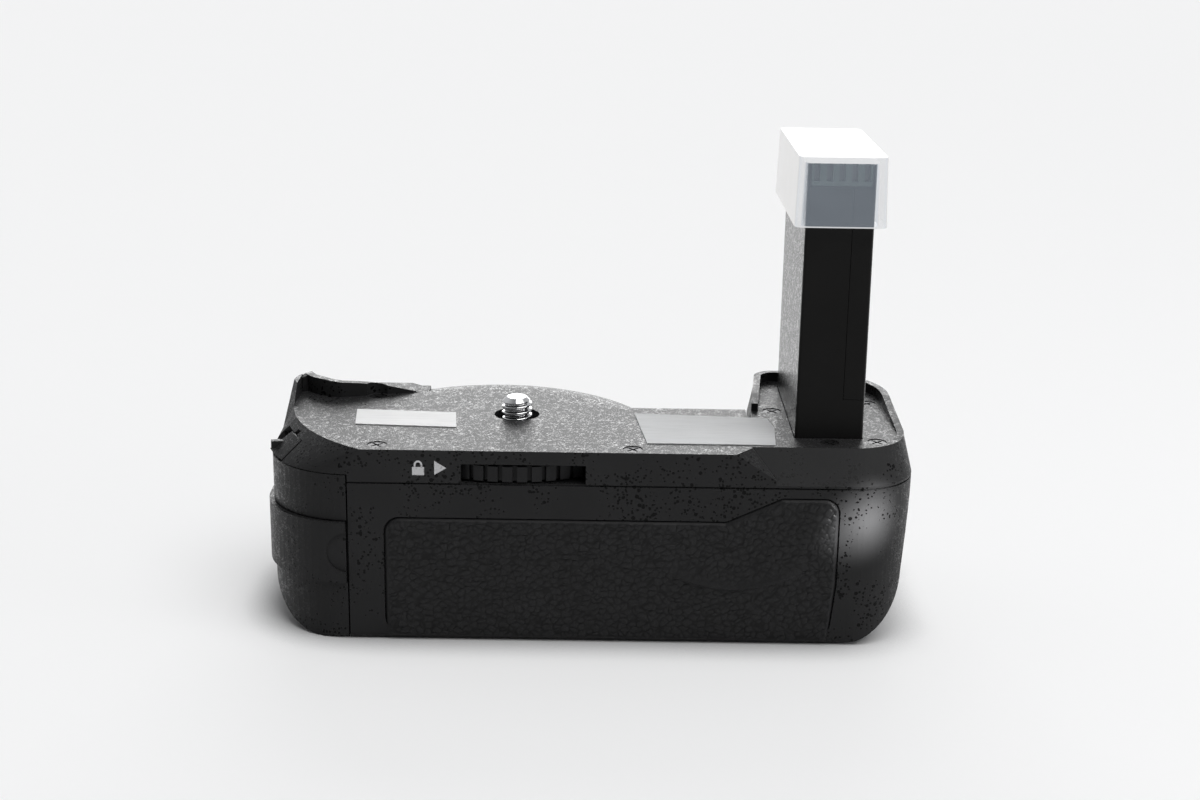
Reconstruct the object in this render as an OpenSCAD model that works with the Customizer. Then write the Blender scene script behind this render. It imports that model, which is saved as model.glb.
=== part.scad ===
// Camera battery grip: a two-part housing with a battery tray in its left end, a plug that goes up
// into the camera's battery bay, and a thumb wheel that drives the camera screw.
// Frame: origin on the base below the camera screw, +X to the hand end, +Y to the lens side, +Z up.

/* [Body] */
// Reach of the housing to the left of the camera screw
body_left = 50.1; // [48:0.1:54]
// Reach of the housing to the right of the camera screw
body_right = 81.4; // [80:0.1:86]
// Reach of the housing from the camera screw to its rear face
rear_reach = 25.5; // [25:0.25:28]
// Height of the camera plate above the base
plate_h = 40.5; // [40:0.5:46]
// Thickness of the camera plate
plate_t = 2; // [1.6:0.1:2.2]
// Height of the top cover's side, from the seam to the plate
cover_side = 6.8; // [6.6:0.1:8]
// Wall of the two housing shells
wall = 2.2; // [1.8:0.1:2.6]
// Floor under the battery tray
floor_t = 2; // [1.6:0.1:2.6]
// Radius of the bottom corner at the left end, seen from the rear
bottom_r = 12; // [8:0.5:14]
// Radius of the bottom corner at the hand end, seen from the rear
hand_bottom_r = 14; // [10:0.5:16]
// Radius of the bottom edge along the rear face
rear_edge_r = 1.5; // [0.8:0.1:3]
// Radius of the bottom edge along the lens side
lens_edge_r = 6; // [2:0.5:8]
// Lean of the right end, from the seam down to the bottom corner
end_draft = 2; // [0:0.1:3]
// Radius of the rear left corner in plan
rear_left_r = 18; // [14:0.5:20]
// Radius of the rear right corner in plan
rear_right_r = 13; // [9:0.5:15]
// Depth of the groove that marks the seam
seam_groove = 0.4; // [0.2:0.05:0.6]
// Height of the groove that marks the seam
seam_groove_h = 0.35; // [0.2:0.05:0.6]

/* [Lens side] */
// Place of the bulge's centre, left of the camera screw
bulge_left = 4; // [2:0.5:6]
// Place of the bulge's centre, behind the camera screw
bulge_back = 5.8; // [4:0.2:7]
// Radius of the bulge at the seam
bulge_r = 37.4; // [36.5:0.1:39]
// Radius of the flat plate on the bulge
bulge_flat_r = 25; // [22:0.5:27]
// Lens side of the neck between bulge and hand lobe
neck_far = 11; // [9:0.5:13]
// Width of the rounded edge on the neck
neck_round = 6; // [3:0.5:7]
// Radius in the inner corner beside the hand lobe
neck_r = 5; // [2:0.5:6]
// Lens side of the hand lobe
lobe_far = 31; // [29.5:0.5:34]
// Inner flank of the hand lobe, from the camera screw
lobe_left = 50.6; // [49.6:0.2:52]
// Outer radius of the hand lobe
lobe_r = 18; // [15:0.5:20]
// Inner radius of the hand lobe
lobe_inner_r = 6; // [4:0.5:7]
// Lens side of the left end
left_far = 21.5; // [21.5:0.5:24]
// Radius of the left end's lens-side corner
left_far_r = 10; // [7:0.5:12]

/* [Plate edge] */
// Start of the plate's slanted rear left edge, left of the camera screw
slant_start = 30; // [27:0.5:33]
// Lens-side end of the plate's slanted edge
slant_end = 3; // [0:0.5:5]
// Radius of the plate's slanted edge
slant_r = 42; // [36:1:60]
// Inset of the plate from the left end
left_inset = 2.6; // [2.2:0.1:4]
// Inset of the plate from the rear face at the hand end
hand_inset = 5.2; // [3:0.2:7]
// Inset of the plate from the right end and the hand lobe
lobe_inset = 1.3; // [1:0.1:2.4]
// Height of the rim round the hand lobe
lobe_rim_h = 2.1; // [1.5:0.1:3]
// Thickness of the rim round the hand lobe
lobe_rim_t = 1.5; // [1.2:0.1:2]
// Height of the raised wall at the left end
left_rim_h = 3.7; // [2.5:0.1:4.5]
// Thickness of the raised rim at the left end
left_rim_t = 1.7; // [1.3:0.1:2.2]

/* [Lock wheel and camera screw] */
// Radius of the thumb wheel
wheel_r = 25.7; // [25.4:0.05:26]
// Thickness of the thumb wheel
wheel_t = 3.1; // [2.6:0.1:3.2]
// Number of finger ridges round the thumb wheel
wheel_ridges = 55; // [40:1:64]
// Width of the groove between two ridges
wheel_groove_w = 0.9; // [0.6:0.1:1.2]
// Depth of the groove between two ridges
wheel_groove_d = 1; // [0.6:0.1:1.4]
// Left end of the wheel slot, from the camera screw
slot_left = 10; // [8:0.5:12]
// Right end of the wheel slot, from the camera screw
slot_right = 14.8; // [12:0.2:16]
// Height of the wheel slot above the seam
slot_h = 4; // [3.8:0.1:4.2]
// Radius of the camera screw's thread, quarter-inch tripod size
screw_r = 3.175; // [3:0.005:3.3]
// Length of camera thread that stands above the plate
screw_reach = 4.6; // [4:0.1:5.5]
// Radius of the screw's flange below the plate
screw_flange_r = 6.5; // [5.5:0.1:7]
// Radius of the screw's tail in its bush
screw_tail_r = 2.5; // [2:0.1:2.8]
// Radius of the hole in the plate round the camera screw
screw_hole_r = 4.75; // [4:0.05:5.4]
// Running clearance of shafts
shaft_gap = 0.05; // [0.02:0.01:0.08]

/* [Camera plug] */
// Middle of the plug, from the camera screw
plug_x = 64.1; // [63.5:0.1:64.7]
// Rear face of the plug, from the camera screw
plug_back = 13.9; // [13:0.1:15]
// Width of the plug at the plate
plug_w = 13.9; // [13:0.1:14.4]
// Depth of the plug at the plate
plug_d = 38; // [36:0.25:39]
// Height of the plug above the plate
plug_h = 56; // [50:0.5:60]
// Taper of the plug's width and depth up to its top
plug_taper = 0.3; // [0:0.1:1]
// Wall of the hollow plug
plug_wall = 1.6; // [1.2:0.1:2]
// Width of the plug's side cover
side_cover_w = 4.5; // [3.5:0.1:5.5]
// Height of the side cover's lower edge above the plate
side_cover_low = 8.2; // [6:0.2:12]
// Height of the contact block at the plug's top
contact_h = 4.4; // [3:0.1:6]
// Depth of the contact block at the plug's top
contact_d = 4.5; // [3:0.1:6]
// Number of contacts in the plug's top
contact_count = 5; // [3:1:6]

/* [Protective cap] */
// Height of the protective cap
cap_h = 13.8; // [11:0.2:18]
// Wall of the protective cap
cap_wall = 1.4; // [1:0.1:1.8]
// Free space between plug and cap
cap_gap = 0.5; // [0.3:0.1:1]
// Flare of the cap towards its open end
cap_flare = 0.8; // [0:0.1:1.2]

/* [Battery tray] */
// Seam of the tray's end cap, left of the camera screw
tray_seam = 32.6; // [32:0.2:34]
// Height of the end cap above the housing seam
end_cap_rise = 1.5; // [1:0.1:2]
// Length of one battery
battery_l = 53.2; // [52:0.2:54]
// Width of one battery
battery_w = 38.2; // [37:0.2:38.4]
// Wall of the tray frame
tray_wall = 1.2; // [1:0.1:1.4]
// Clearance round the tray
tray_gap = 0.3; // [0.2:0.05:0.4]
// Rear side of the battery space, from the camera screw
tray_back = 21; // [20.6:0.1:21.2]
// Right end of the battery space, from the camera screw
tray_right = 12.4; // [11:0.2:13]
// Lower edge of the pull flap
flap_low = 12.4; // [11:0.2:14]
// Height of the pull flap
flap_h = 12.8; // [10:0.2:14]
// Height of the pull flap's outer face above the end cap
flap_proud = 1; // [0.4:0.1:1.2]
// Thickness of the pull flap
flap_t = 2.2; // [1.8:0.1:2.6]
// Radius of the flap's hinge knuckle
knuckle_r = 2.7; // [2.4:0.1:3]
// Place of the flap's hinge along the left end
flap_hinge_y = 9; // [6:0.5:10]
// Radius of the flap's hinge pin
pin_r = 0.85; // [0.6:0.05:1]
// Radius of the fingernail notch in the flap
nail_r = 4.4; // [3:0.2:5]
// Width of the tray lock as an angle round the rear left corner
lock_angle = 27; // [22:1:30]
// Travel of the tray lock as an angle round the rear left corner
lock_travel = 12; // [8:1:14]
// Height of the tray lock
lock_h = 3.2; // [2.6:0.1:3.4]

/* [Rubber] */
// Left edge of the rear grip pad, left of the camera screw
pad_left = 25.4; // [24:0.2:28]
// Right edge of the rear grip pad
pad_right = 65.6; // [62:0.2:68]
// Top of the rear grip pad
pad_top = 26.3; // [24:0.1:28]
// Top of the rear grip pad's raised end
pad_high = 31.4; // [29:0.1:32]
// Start of the pad's slanted top edge
pad_slope_start = 43; // [38:0.5:46]
// End of the pad's slanted top edge
pad_slope_end = 54; // [50:0.5:57]
// Depth of the pad's recess in the housing
pad_sink = 1; // [0.6:0.1:1.2]
// Height of the pad above the rear face
pad_proud = 0.35; // [0.1:0.05:0.5]
// Radius of the pad's corners
pad_r = 3; // [1.5:0.25:4]
// Radius of the thumb ridge on the rear pad
ridge_r = 26; // [22:0.5:32]
// Height of the thumb ridge above the rear pad
ridge_h = 0.5; // [0.3:0.05:0.8]

/* [Release button] */
// Height of the release button above the base
button_z = 17; // [15:0.5:19]
// Angle of the release button round the hand lobe
button_angle = 30; // [22:1:36]
// Radius of the release button
button_r = 4.7; // [4:0.1:5]
// Travel of the release button
button_travel = 1; // [0.6:0.1:1.2]
// Outer radius of the release lock ring
ring_r = 7.4; // [6.8:0.1:7.6]
// Radius of the button's stem
button_stem_r = 2; // [1.6:0.1:2.2]

/* [Fastenings] */
// Radius of the tripod socket's thread, quarter-inch minor diameter
tripod_r = 2.6; // [2.4:0.05:2.8]
// Depth of the tripod socket
tripod_depth = 7; // [5.5:0.5:9]
// Place of the tripod socket to the right of the camera screw
tripod_x = 25; // [24:0.5:28]
// Radius of a screw head on the camera plate
head_r = 1.85; // [1.5:0.05:2]
// Radius of a screw shank
shank_r = 1; // [0.8:0.05:1.1]
// Radius of the bosses that take the screws
boss_r = 2; // [1.8:0.1:2.1]
// Fitting clearance between fixed pieces
fit_gap = 0.1; // [0.05:0.01:0.15]

/* [Hidden] */
$fn = 64;

// Reach of a cut that runs clear of the part
clear = 200;
// Overlap that keeps a cut free of shared faces
cut = 0.5;
// Largest turn between two points of an arc
arc_step = 5;
// Thickness of the slabs that a loft runs between
slab = 0.4;

left_x = -body_left;
right_x = body_right;
rear_y = -rear_reach;
seam_z = plate_h - cover_side;
end_cap_top = seam_z + end_cap_rise;
plate_low = plate_h - plate_t;
bulge_c = [-bulge_left, -bulge_back];
bulge_a0 = asin((neck_far + bulge_back) / bulge_r);
bulge_a1 = 180 - asin((left_far + bulge_back) / bulge_r);
far_y = max(lobe_far, bulge_r - bulge_back);
corner_c = [left_x + rear_left_r, rear_y + rear_left_r];
lobe_c = [right_x - lobe_r, lobe_far - lobe_r];
// The lobe's flank leans in towards the neck
flank_lean = 3;
neck_right = lobe_left - flank_lean;
// Where the cover's hand-end block starts, under the rear block's slope
hand_block_x = lobe_left - 4;
hand_step = 4.6;

slot_top = seam_z + slot_h;
wheel_z = seam_z + 0.45;
wheel_top = wheel_z + wheel_t;
wheel_clear = 0.6;
bush_flange_t = wheel_z - seam_z - shaft_gap;
bush_flange_r = 9;
bush_r = 4.2;
screw_flange_t = 0.8;
screw_flange_gap = 0.25;
screw_top = plate_h + screw_reach;
screw_chamfer = 0.6;
screw_neck_r = screw_r - 0.5;

tunnel_z0 = floor_t;
deck_t = 1.7;
tunnel_z1 = seam_z - deck_t;
tray_y0 = -tray_back - tray_wall;
tray_y1 = -tray_back + battery_w + tray_wall;
tray_z0 = tunnel_z0 + tray_gap;
tray_z1 = tunnel_z1 - tray_gap;
tray_shelf_z = (tray_z0 + tray_z1 - tray_wall) / 2;
tray_x0 = tray_right - battery_l - tray_wall;
tray_x1 = tray_right + tray_wall;
contact_t = 0.4;
tunnel_x1 = tray_x1 + contact_t + 0.4;
bulkhead_t = 2.8;
bulkhead_x = tunnel_x1 + bulkhead_t;
tunnel_wall = 2.4;
deck_ledge = 1.2;
deck_x1 = tunnel_x1 + deck_ledge;
deck_y0 = tray_y0 - tray_gap - deck_ledge;
deck_y1 = tray_y1 + tray_gap + deck_ledge;
tray_seam_x = -tray_seam;

flap_gap = 0.3;
hinge_c = [left_x - flap_proud + knuckle_r, flap_hinge_y];
nail_depth = 0.9;

lock_out = rear_left_r + 0.3;
lock_in = rear_left_r - 4.6;
lock_a1 = 214;
lock_a0 = lock_a1 - lock_angle;
lock_gap = 0.25;
lock_z = end_cap_top + 0.15;
lock_top = lock_z + lock_h;
lock_end_gap = 1.5;
lock_tongue = 1.4;
lock_tongue_h = 1.2;
lock_slot = [lock_a0 + 6, lock_a0 + 13];
nub_angle = 7;
nub_start = lock_a0 + 3;
nub_reach = 0.9;
nub_h = 2;

plug_z0 = plate_low - 2;
plug_top = plate_h + plug_h;
plug_flange = 0.5;
plug_flange_end = -plug_back + plug_d - 6;
plug_edge_r = 0.6;
side_split = plug_x + plug_w / 2 - side_cover_w;
side_low = plate_h + side_cover_low;
plug_solid_top = 8;
plug_mid = -plug_back + plug_d / 2;

cap_low = plug_top + 0.2 + cap_wall - cap_h;
cap_in_w = plug_w - plug_taper + 2 * cap_gap;
cap_in_d = plug_d - plug_taper + 2 * cap_gap;
cap_edge_r = 1.6;

head_t = 0.6;
head_sink = 0.15;
head_gap = 0.1;
shank_low = seam_z - 1.4;
slot_w = 0.5;
// Screws in the camera plate, as seen from the rear
plate_screws = [[-26.9, rear_y + 3.5], [-30.6, 11.6], [24.1, rear_y + 2.8],
    [lobe_left + 3.6, 5.1], [plug_x - 0.2, -plug_back - 2.7],
    [plug_x + 9.6, rear_y + 9.9], [plug_x + 11.4, 11.8]];
wall_screw = plate_screws[1];

label_t = 0.2;
board_t = 1.6;
board_size = [17, 20];
board_at = [34, -18];
board_z = 8;
board_inset = 2.5;
board_screw_l = 4.5;
chip_size = [7, 7, 1.2];

button_bore_z = 13.2;
button_low = button_bore_z + button_travel + 0.6;
button_top = lobe_r + 0.9;
button_stem_low = 10.8;
button_flat = 16.4;
flat_r = 8;
button_boss_r = 9;
ring_z = button_flat + fit_gap;
ring_top = lobe_r + 0.7;
ring_in_r = button_r + 0.3;
lever_w = 3;
lever_reach = 10.4;
lever_low = lobe_r + 0.25;
switch_size = 6;
switch_top = 8.5;
switch_h = 3.7;
plunger_r = 1.6;
plunger_top = button_stem_low - button_travel - 0.2;
release_board_size = [11, 17];
release_board_t = 1.4;
release_back = switch_top - switch_h;
release_screw_y = 6.4;
small_shank_r = shank_r - 0.2;

terminal_pitch = 4;
terminal_count = 4;
terminal_w = 2;
terminal_h = 12;
terminal_block_w = 18;
terminal_block_h = 16;
terminal_z = (tunnel_z0 + tunnel_z1) / 2;
terminal_y = (tray_y0 + tray_y1) / 2;
spring_reach = 0.55;

pad_low = rear_edge_r + 0.3;
lobe_pad_sink = 0.8;
lobe_pad_proud = 0.4;
lobe_pad_z = [lens_edge_r + 0.6, seam_z - 4];
lobe_pad_x = [lobe_left - 1.5, lobe_c.x + 7];
lobe_pad_y = neck_far + neck_r + 2;

// Points of an arc about c from angle a0 to a1
function arc(c, r, a0, a1) = let (n = max(2, ceil(abs(a1 - a0) / arc_step)))
    [for (i = [0:n]) let (a = a0 + (a1 - a0) * i / n) [c.x + r * cos(a), c.y + r * sin(a)]];

// Arc of radius r from point p to point q, with its centre on the left of the way
function bow(p, q, r) = let (
    d = norm(q - p),
    h = sqrt(r * r - d * d / 4),
    n = [p.y - q.y, q.x - p.x] / d,
    c = (p + q) / 2 + h * n,
    a = atan2(p.y - c.y, p.x - c.x),
    b = atan2(q.y - c.y, q.x - c.x))
    arc(c, r, a < 0 ? a + 360 : a, b < 0 ? b + 360 : b);

// Plan of the housing below the seam
lower_plan = concat(
    arc(corner_c, rear_left_r, 180, 270),
    arc([right_x - rear_right_r, rear_y + rear_right_r], rear_right_r, 270, 360),
    arc(lobe_c, lobe_r, 0, 90),
    arc([lobe_left + lobe_inner_r, lobe_far - lobe_inner_r], lobe_inner_r, 90, 180),
    arc([neck_right - neck_r, neck_far + neck_r], neck_r, 0, -90),
    arc(bulge_c, bulge_r, bulge_a0, bulge_a1),
    arc([left_x + left_far_r, left_far - left_far_r], left_far_r, 90, 180));

// Outline of the housing seen from the rear, with its round bottom corners
rear_profile = concat(
    [[left_x, clear]],
    arc([left_x + bottom_r, bottom_r], bottom_r, 180, 270),
    arc([right_x - end_draft - hand_bottom_r, hand_bottom_r], hand_bottom_r, 270, 360),
    [[right_x, seam_z], [right_x, clear]]);

// Outline of the housing seen from its end
end_profile = concat(
    [[rear_y, clear]],
    arc([rear_y + rear_edge_r, rear_edge_r], rear_edge_r, 180, 270),
    arc([far_y - lens_edge_r, lens_edge_r], lens_edge_r, 270, 360),
    [[far_y, clear]]);

// Housing form without its top, drawn in by inset on every side
module body_form(inset) {
    intersection() {
        linear_extrude(height = clear) offset(delta = -inset) polygon(lower_plan);
        rotate([90, 0, 0]) linear_extrude(height = clear, center = true)
            offset(delta = -inset) polygon(rear_profile);
        rotate([90, 0, 90]) linear_extrude(height = clear, center = true)
            offset(delta = -inset) polygon(end_profile);
    }
}

// Box between two corners
module box(low, high) {
    translate(low) cube(high - low);
}

// Part of the housing form between two heights and two X planes
module body_slice(inset, x0, x1, z0, z1) {
    intersection() {
        body_form(inset);
        box([x0, -clear / 2, z0], [x1, clear / 2, z1]);
    }
}

// Ring sector about c between two radii, two angles and two heights
module sector(c, r0, r1, a0, a1, z0, z1) {
    translate([c.x, c.y, 0]) rotate([0, 0, a0]) rotate_extrude(angle = a1 - a0)
        translate([r0, z0]) square([r1 - r0, z1 - z0]);
}

// Places its children at every screw of the camera plate
module at_plate_screws() {
    for (p = plate_screws) translate([p.x, p.y, 0]) children();
}

// Local frame of the release button, +Z out of the hand lobe
module at_button() {
    translate([lobe_c.x, lobe_c.y, button_z]) rotate([0, 0, button_angle]) rotate([0, 90, 0])
        children();
}

// Loft between two outlines, low at z0 with a straight foot and high at z1
module loft(z0, foot, low, z1, high) {
    hull() {
        translate([0, 0, z0]) linear_extrude(height = foot) polygon(low);
        translate([0, 0, z1 - slab]) linear_extrude(height = slab) polygon(high);
    }
}

// Outline of the rear grip pad on the rear face
module pad_outline(grow) {
    offset(r = pad_r + grow) offset(delta = -pad_r) polygon([
        [-pad_left, pad_low], [pad_right - 1.2, pad_low], [pad_right, pad_top / 2],
        [pad_right, pad_high], [pad_slope_end, pad_high], [pad_slope_start, pad_top], [-pad_left, pad_top]]);
}

// Extrudes an outline of the rear face from depth y0 to y1
module on_rear(y0, y1) {
    translate([0, y1, 0]) rotate([90, 0, 0]) linear_extrude(height = y1 - y0) children();
}

// Ring of the lobe pad between two offsets of the plan
module lobe_pad_form(out, sink, grow) {
    pad_h = lobe_pad_z[1] - lobe_pad_z[0];
    intersection() {
        translate([0, 0, lobe_pad_z[0] - grow]) linear_extrude(height = pad_h + 2 * grow)
            difference() {
                offset(delta = out) polygon(lower_plan);
                offset(delta = -sink) polygon(lower_plan);
            }
        box([lobe_pad_x[0] - grow, lobe_pad_y - grow, 0], [lobe_pad_x[1] + grow, clear, clear]);
    }
}

// Lower shell with the tray tunnel, the bosses and the release button's seat
module main_housing() {
    color("#2b2b2d") difference() {
        union() {
            difference() {
                body_slice(0, tray_seam_x, clear, 0, seam_z);
                body_slice(wall, bulkhead_x, clear, 0, clear);
                intersection() {
                    body_slice(wall, tray_seam_x + wall, tunnel_x1, 0, clear);
                    box([-clear, tray_y1 + tray_gap + tunnel_wall, 0], [clear, clear, clear]);
                }
                translate([0, 0, seam_z - seam_groove_h]) linear_extrude(height = clear) difference() {
                    square(2 * clear, center = true);
                    offset(delta = -seam_groove) polygon(lower_plan);
                }
            }
            intersection() {
                union() {
                    at_plate_screws() cylinder(r = boss_r, h = seam_z);
                    translate([tripod_x, -bulge_back, 0])
                        cylinder(r = 2 * tripod_r + wall, h = tripod_depth + wall);
                    board_posts();
                    at_button() translate([0, 0, release_back])
                        cylinder(r = button_boss_r, h = button_flat - release_back);
                }
                body_slice(cut, bulkhead_x - cut, clear, 0, seam_z);
            }
        }
        box([-clear, tray_y0 - tray_gap, tunnel_z0], [tunnel_x1, tray_y1 + tray_gap, tunnel_z1]);
        deck_form(fit_gap, clear);
        at_plate_screws() translate([0, 0, shank_low - cut])
            cylinder(r = shank_r + shaft_gap, h = clear);
        on_rear(rear_y - cut, rear_y + pad_sink) pad_outline(fit_gap);
        lobe_pad_form(cut, lobe_pad_sink, fit_gap);
        translate([tripod_x, -bulge_back, -cut]) cylinder(r = tripod_r + wall + shaft_gap, h = clear);
        board_holes();
        terminal_form(fit_gap);
        at_button() {
            translate([0, 0, button_flat]) cylinder(r = flat_r, h = clear);
            translate([0, 0, button_bore_z]) cylinder(r = button_r + 0.2, h = clear);
            cylinder(r = button_stem_r + shaft_gap, h = clear);
            translate([0, 0, switch_top - switch_h / 2])
                cube([switch_size + 0.4, switch_size + 0.4, switch_h + 2 * fit_gap], center = true);
            for (s = [-1, 1]) translate([s * release_screw_y, 0, 0])
                cylinder(r = small_shank_r + shaft_gap, h = switch_top);
        }
    }
}

// Space of the deck over the tray, grown by gap at its sides, up to z1
module deck_form(gap, z1) {
    box([tray_seam_x - gap, deck_y0 - gap, tunnel_z1], [deck_x1 + gap, deck_y1 + gap, z1]);
}

// Deck over the tray tunnel that carries the wheel's bush
module tray_deck() {
    color("#2b2b2d") difference() {
        deck_form(0, seam_z);
        cylinder(r = bush_r + shaft_gap, h = clear);
        at_plate_screws() cylinder(r = shank_r + shaft_gap, h = clear);
    }
}

// Posts under the control board
module board_posts() {
    for (p = board_corners()) translate([p.x, p.y, 0]) cylinder(r = boss_r + 0.4, h = board_z);
}

// Screw places of the control board
function board_corners() = [for (sx = [0, 1], sy = [0, 1])
    [board_at.x + board_inset + sx * (board_size.x - 2 * board_inset),
     board_at.y + board_inset + sy * (board_size.y - 2 * board_inset)]];

// Pilot holes in the posts under the control board
module board_holes() {
    for (p = board_corners()) translate([p.x, p.y, board_z + board_t - board_screw_l - cut])
        cylinder(r = shank_r + shaft_gap, h = clear);
}

// Rear left part of the cover, from the seam's plan up to the slanted plate edge
module cover_rear_block() {
    p = [left_x + left_inset, slant_end];
    q = [-slant_start, rear_y];
    loft(seam_z, end_cap_rise,
        concat(arc(corner_c, rear_left_r, 180, 270),
            [[lobe_left + 2, rear_y], [lobe_left + 2, slant_end + 1], [left_x, slant_end + 1]]),
        plate_h,
        concat(bow(p, q, slant_r),
            [[lobe_left - hand_step - 1.5, rear_y],
             [lobe_left - hand_step + 2, rear_y + hand_inset - 0.8],
             [lobe_left - hand_step + 2, slant_end + 1], [left_x + left_inset, slant_end + 1]]));
}

// Plan of the cover's hand end at the plate, drawn in by more
function hand_top_plan(more) = let (d = lobe_inset + more, r = rear_right_r - lobe_inset) concat(
    [[hand_block_x + 0.5 + more, rear_y + hand_inset + more]],
    arc([right_x - lobe_inset - r, rear_y + hand_inset + r], r - more, 270, 360),
    arc(lobe_c, lobe_r - d, 0, 90),
    arc([lobe_left + lobe_inner_r, lobe_far - lobe_inner_r], lobe_inner_r - d, 90, 180));

// Hand end of the cover with the rim round the lobe
module cover_hand_block() {
    loft(seam_z, slab,
        concat([[hand_block_x, rear_y]],
            arc([right_x - rear_right_r, rear_y + rear_right_r], rear_right_r, 270, 360),
            arc(lobe_c, lobe_r, 0, 90),
            arc([lobe_left + lobe_inner_r, lobe_far - lobe_inner_r], lobe_inner_r, 90, 180)),
        plate_h, hand_top_plan(0));
    hand_rim([lobe_left - 2 * lobe_inset - slab, slant_end + 2, 0]);
    hand_rim([plug_x, -clear, 0]);
}

// Raised rim of the hand end, kept beyond the corner low
module hand_rim(low) {
    rim_top = plate_h + lobe_rim_h;
    near = rear_y + hand_inset;
    intersection() {
        translate([0, 0, plate_h - slab]) linear_extrude(height = clear) difference() {
            polygon(hand_top_plan(0));
            polygon(hand_top_plan(lobe_rim_t));
        }
        rotate([90, 0, 90]) linear_extrude(height = clear) polygon([
            [near, seam_z], [clear, seam_z], [clear, rim_top], [neck_far, rim_top],
            [neck_far - 7, plate_h + lobe_rim_h * 0.7], [near + 6, plate_h], [near, plate_h]]);
        box(low, [clear, clear, clear]);
    }
}

// Lens-side part of the cover: bulge and neck with their rounded edges
module cover_lens_block() {
    side = plate_h - seam_z;
    translate([bulge_c.x, bulge_c.y, 0]) rotate([0, 0, bulge_a0 - 10])
        rotate_extrude(angle = bulge_a1 - bulge_a0 + 40)
            polygon(concat([[0, plate_h], [0, seam_z]], [for (a = [90:-arc_step:0])
                [bulge_flat_r + (bulge_r - bulge_flat_r) * sin(a), plate_h - side * (1 - cos(a))]]));
    x0 = bulge_c.x + bulge_flat_r * cos(bulge_a0) - 4;
    translate([x0, 0, 0]) rotate([90, 0, 90]) linear_extrude(height = neck_right + 1 - x0)
        polygon(concat([[0, plate_h], [0, seam_z]], [for (a = [90:-arc_step:0])
            [neck_far - neck_round * (1 - sin(a)), plate_h - side * (1 - cos(a))]]));
}

// Left end of the cover with its raised wall
module cover_left_block() {
    top = plate_h + left_rim_h;
    foot_top = seam_z + end_cap_rise;
    // The near corner leans as the rear block does, the lens side less
    near_lean = (left_inset + 2.5 * fit_gap) * (top + slab - foot_top) / (plate_h - foot_top);
    far_lean = 1.5;
    wall_end = bulge_c.x - 20;
    wall_c = [left_x + 12.6, left_far - 0.5];
    wall_arc_r = 10.6;
    rim_in = left_x + left_inset - 0.1;
    back_r = wall_arc_r - left_rim_t;
    back_z = plate_h + 0.6;
    difference() {
        intersection() {
            loft(seam_z, end_cap_rise,
                concat([[left_x, slant_end]], [[wall_end + 4, slant_end], [wall_end + 4, left_far]],
                    arc([left_x + left_far_r, left_far - left_far_r], left_far_r, 90, 180)),
                top + slab,
                concat([[left_x + near_lean, slant_end]],
                    [[wall_end + 4, slant_end], [wall_end + 4, left_far - far_lean]],
                    arc([left_x + left_far_r, left_far - left_far_r], left_far_r - far_lean, 90, 180)));
            rotate([90, 0, 0]) linear_extrude(height = clear, center = true) polygon([
                [-clear, seam_z], [wall_end + 4, seam_z], [wall_end + 4, plate_h],
                [wall_end + 2, plate_h], [wall_end - 5, plate_h + left_rim_h * 0.55],
                [wall_end - 11, plate_h + left_rim_h * 0.8], [left_x + 8, top], [-clear, top]]);
        }
        translate([0, 0, plate_h]) linear_extrude(height = clear) polygon(concat(
            [[rim_in, -clear], [clear, -clear], [clear, left_far], [wall_end + 1, left_far - 6.3]],
            arc(wall_c, wall_arc_r, 265, 180 + acos((wall_c.x - rim_in) / wall_arc_r))));
        translate([0, 0, back_z]) linear_extrude(height = clear) polygon(concat(
            arc(wall_c, back_r, 180, 265), [[wall_end + 1, left_far - 6.3 + left_rim_t],
            [clear, left_far], [clear, clear], [wall_c.x - back_r, clear]]));
        translate([left_x - cut, slant_end - 1, plate_h]) rotate([14, 0, 0])
            cube([rim_in - left_x + cut, clear, clear]);
        translate([wall_screw.x, wall_screw.y, plate_h]) cylinder(r = head_r + 0.7, h = clear);
    }
}

// Upper shell: camera plate, rims, wheel slot and the lock's window
module top_cover() {
    color("#333335") difference() {
        union() {
            cover_rear_block();
            cover_hand_block();
            cover_lens_block();
            cover_left_block();
        }
        box([-clear, -clear, 0], [tray_seam_x, clear, end_cap_top]);
        box([-slot_left, rear_y - cut, 0], [slot_right, -bush_flange_r - 4, slot_top]);
        cylinder(r = wheel_r + wheel_clear, h = slot_top);
        cylinder(r = screw_flange_r + wheel_clear, h = plate_low - 0.2);
        cylinder(r = screw_hole_r, h = clear);
        cover_hollow();
        translate([0, 0, plate_low - cut]) linear_extrude(height = 2 * plate_t) translate([plug_x, plug_mid])
            square([plug_w + 2 * fit_gap, plug_d + 2 * fit_gap], center = true);
        at_plate_screws() {
            cylinder(r = shank_r + fit_gap, h = clear);
            translate([0, 0, plate_h - head_t - head_sink]) cylinder(r = head_r + head_gap, h = clear);
        }
        lock_window(lock_in - lock_gap, lock_top + 2 * lock_gap);
        lock_window(lock_in - lock_tongue - lock_gap, lock_z + lock_tongue_h + 2 * lock_gap);
        sector(corner_c, lock_in - 3, 2 * rear_left_r, lock_slot[0], lock_slot[1], end_cap_top - cut,
            plate_h - 0.8);
    }
}

// Window of the tray lock from radius r0 outwards, up to z1
module lock_window(r0, z1) {
    sector(corner_c, r0, 2 * rear_left_r, lock_a0 - lock_travel - lock_end_gap,
        lock_a1 + lock_end_gap, end_cap_top - cut, z1);
}

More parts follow.
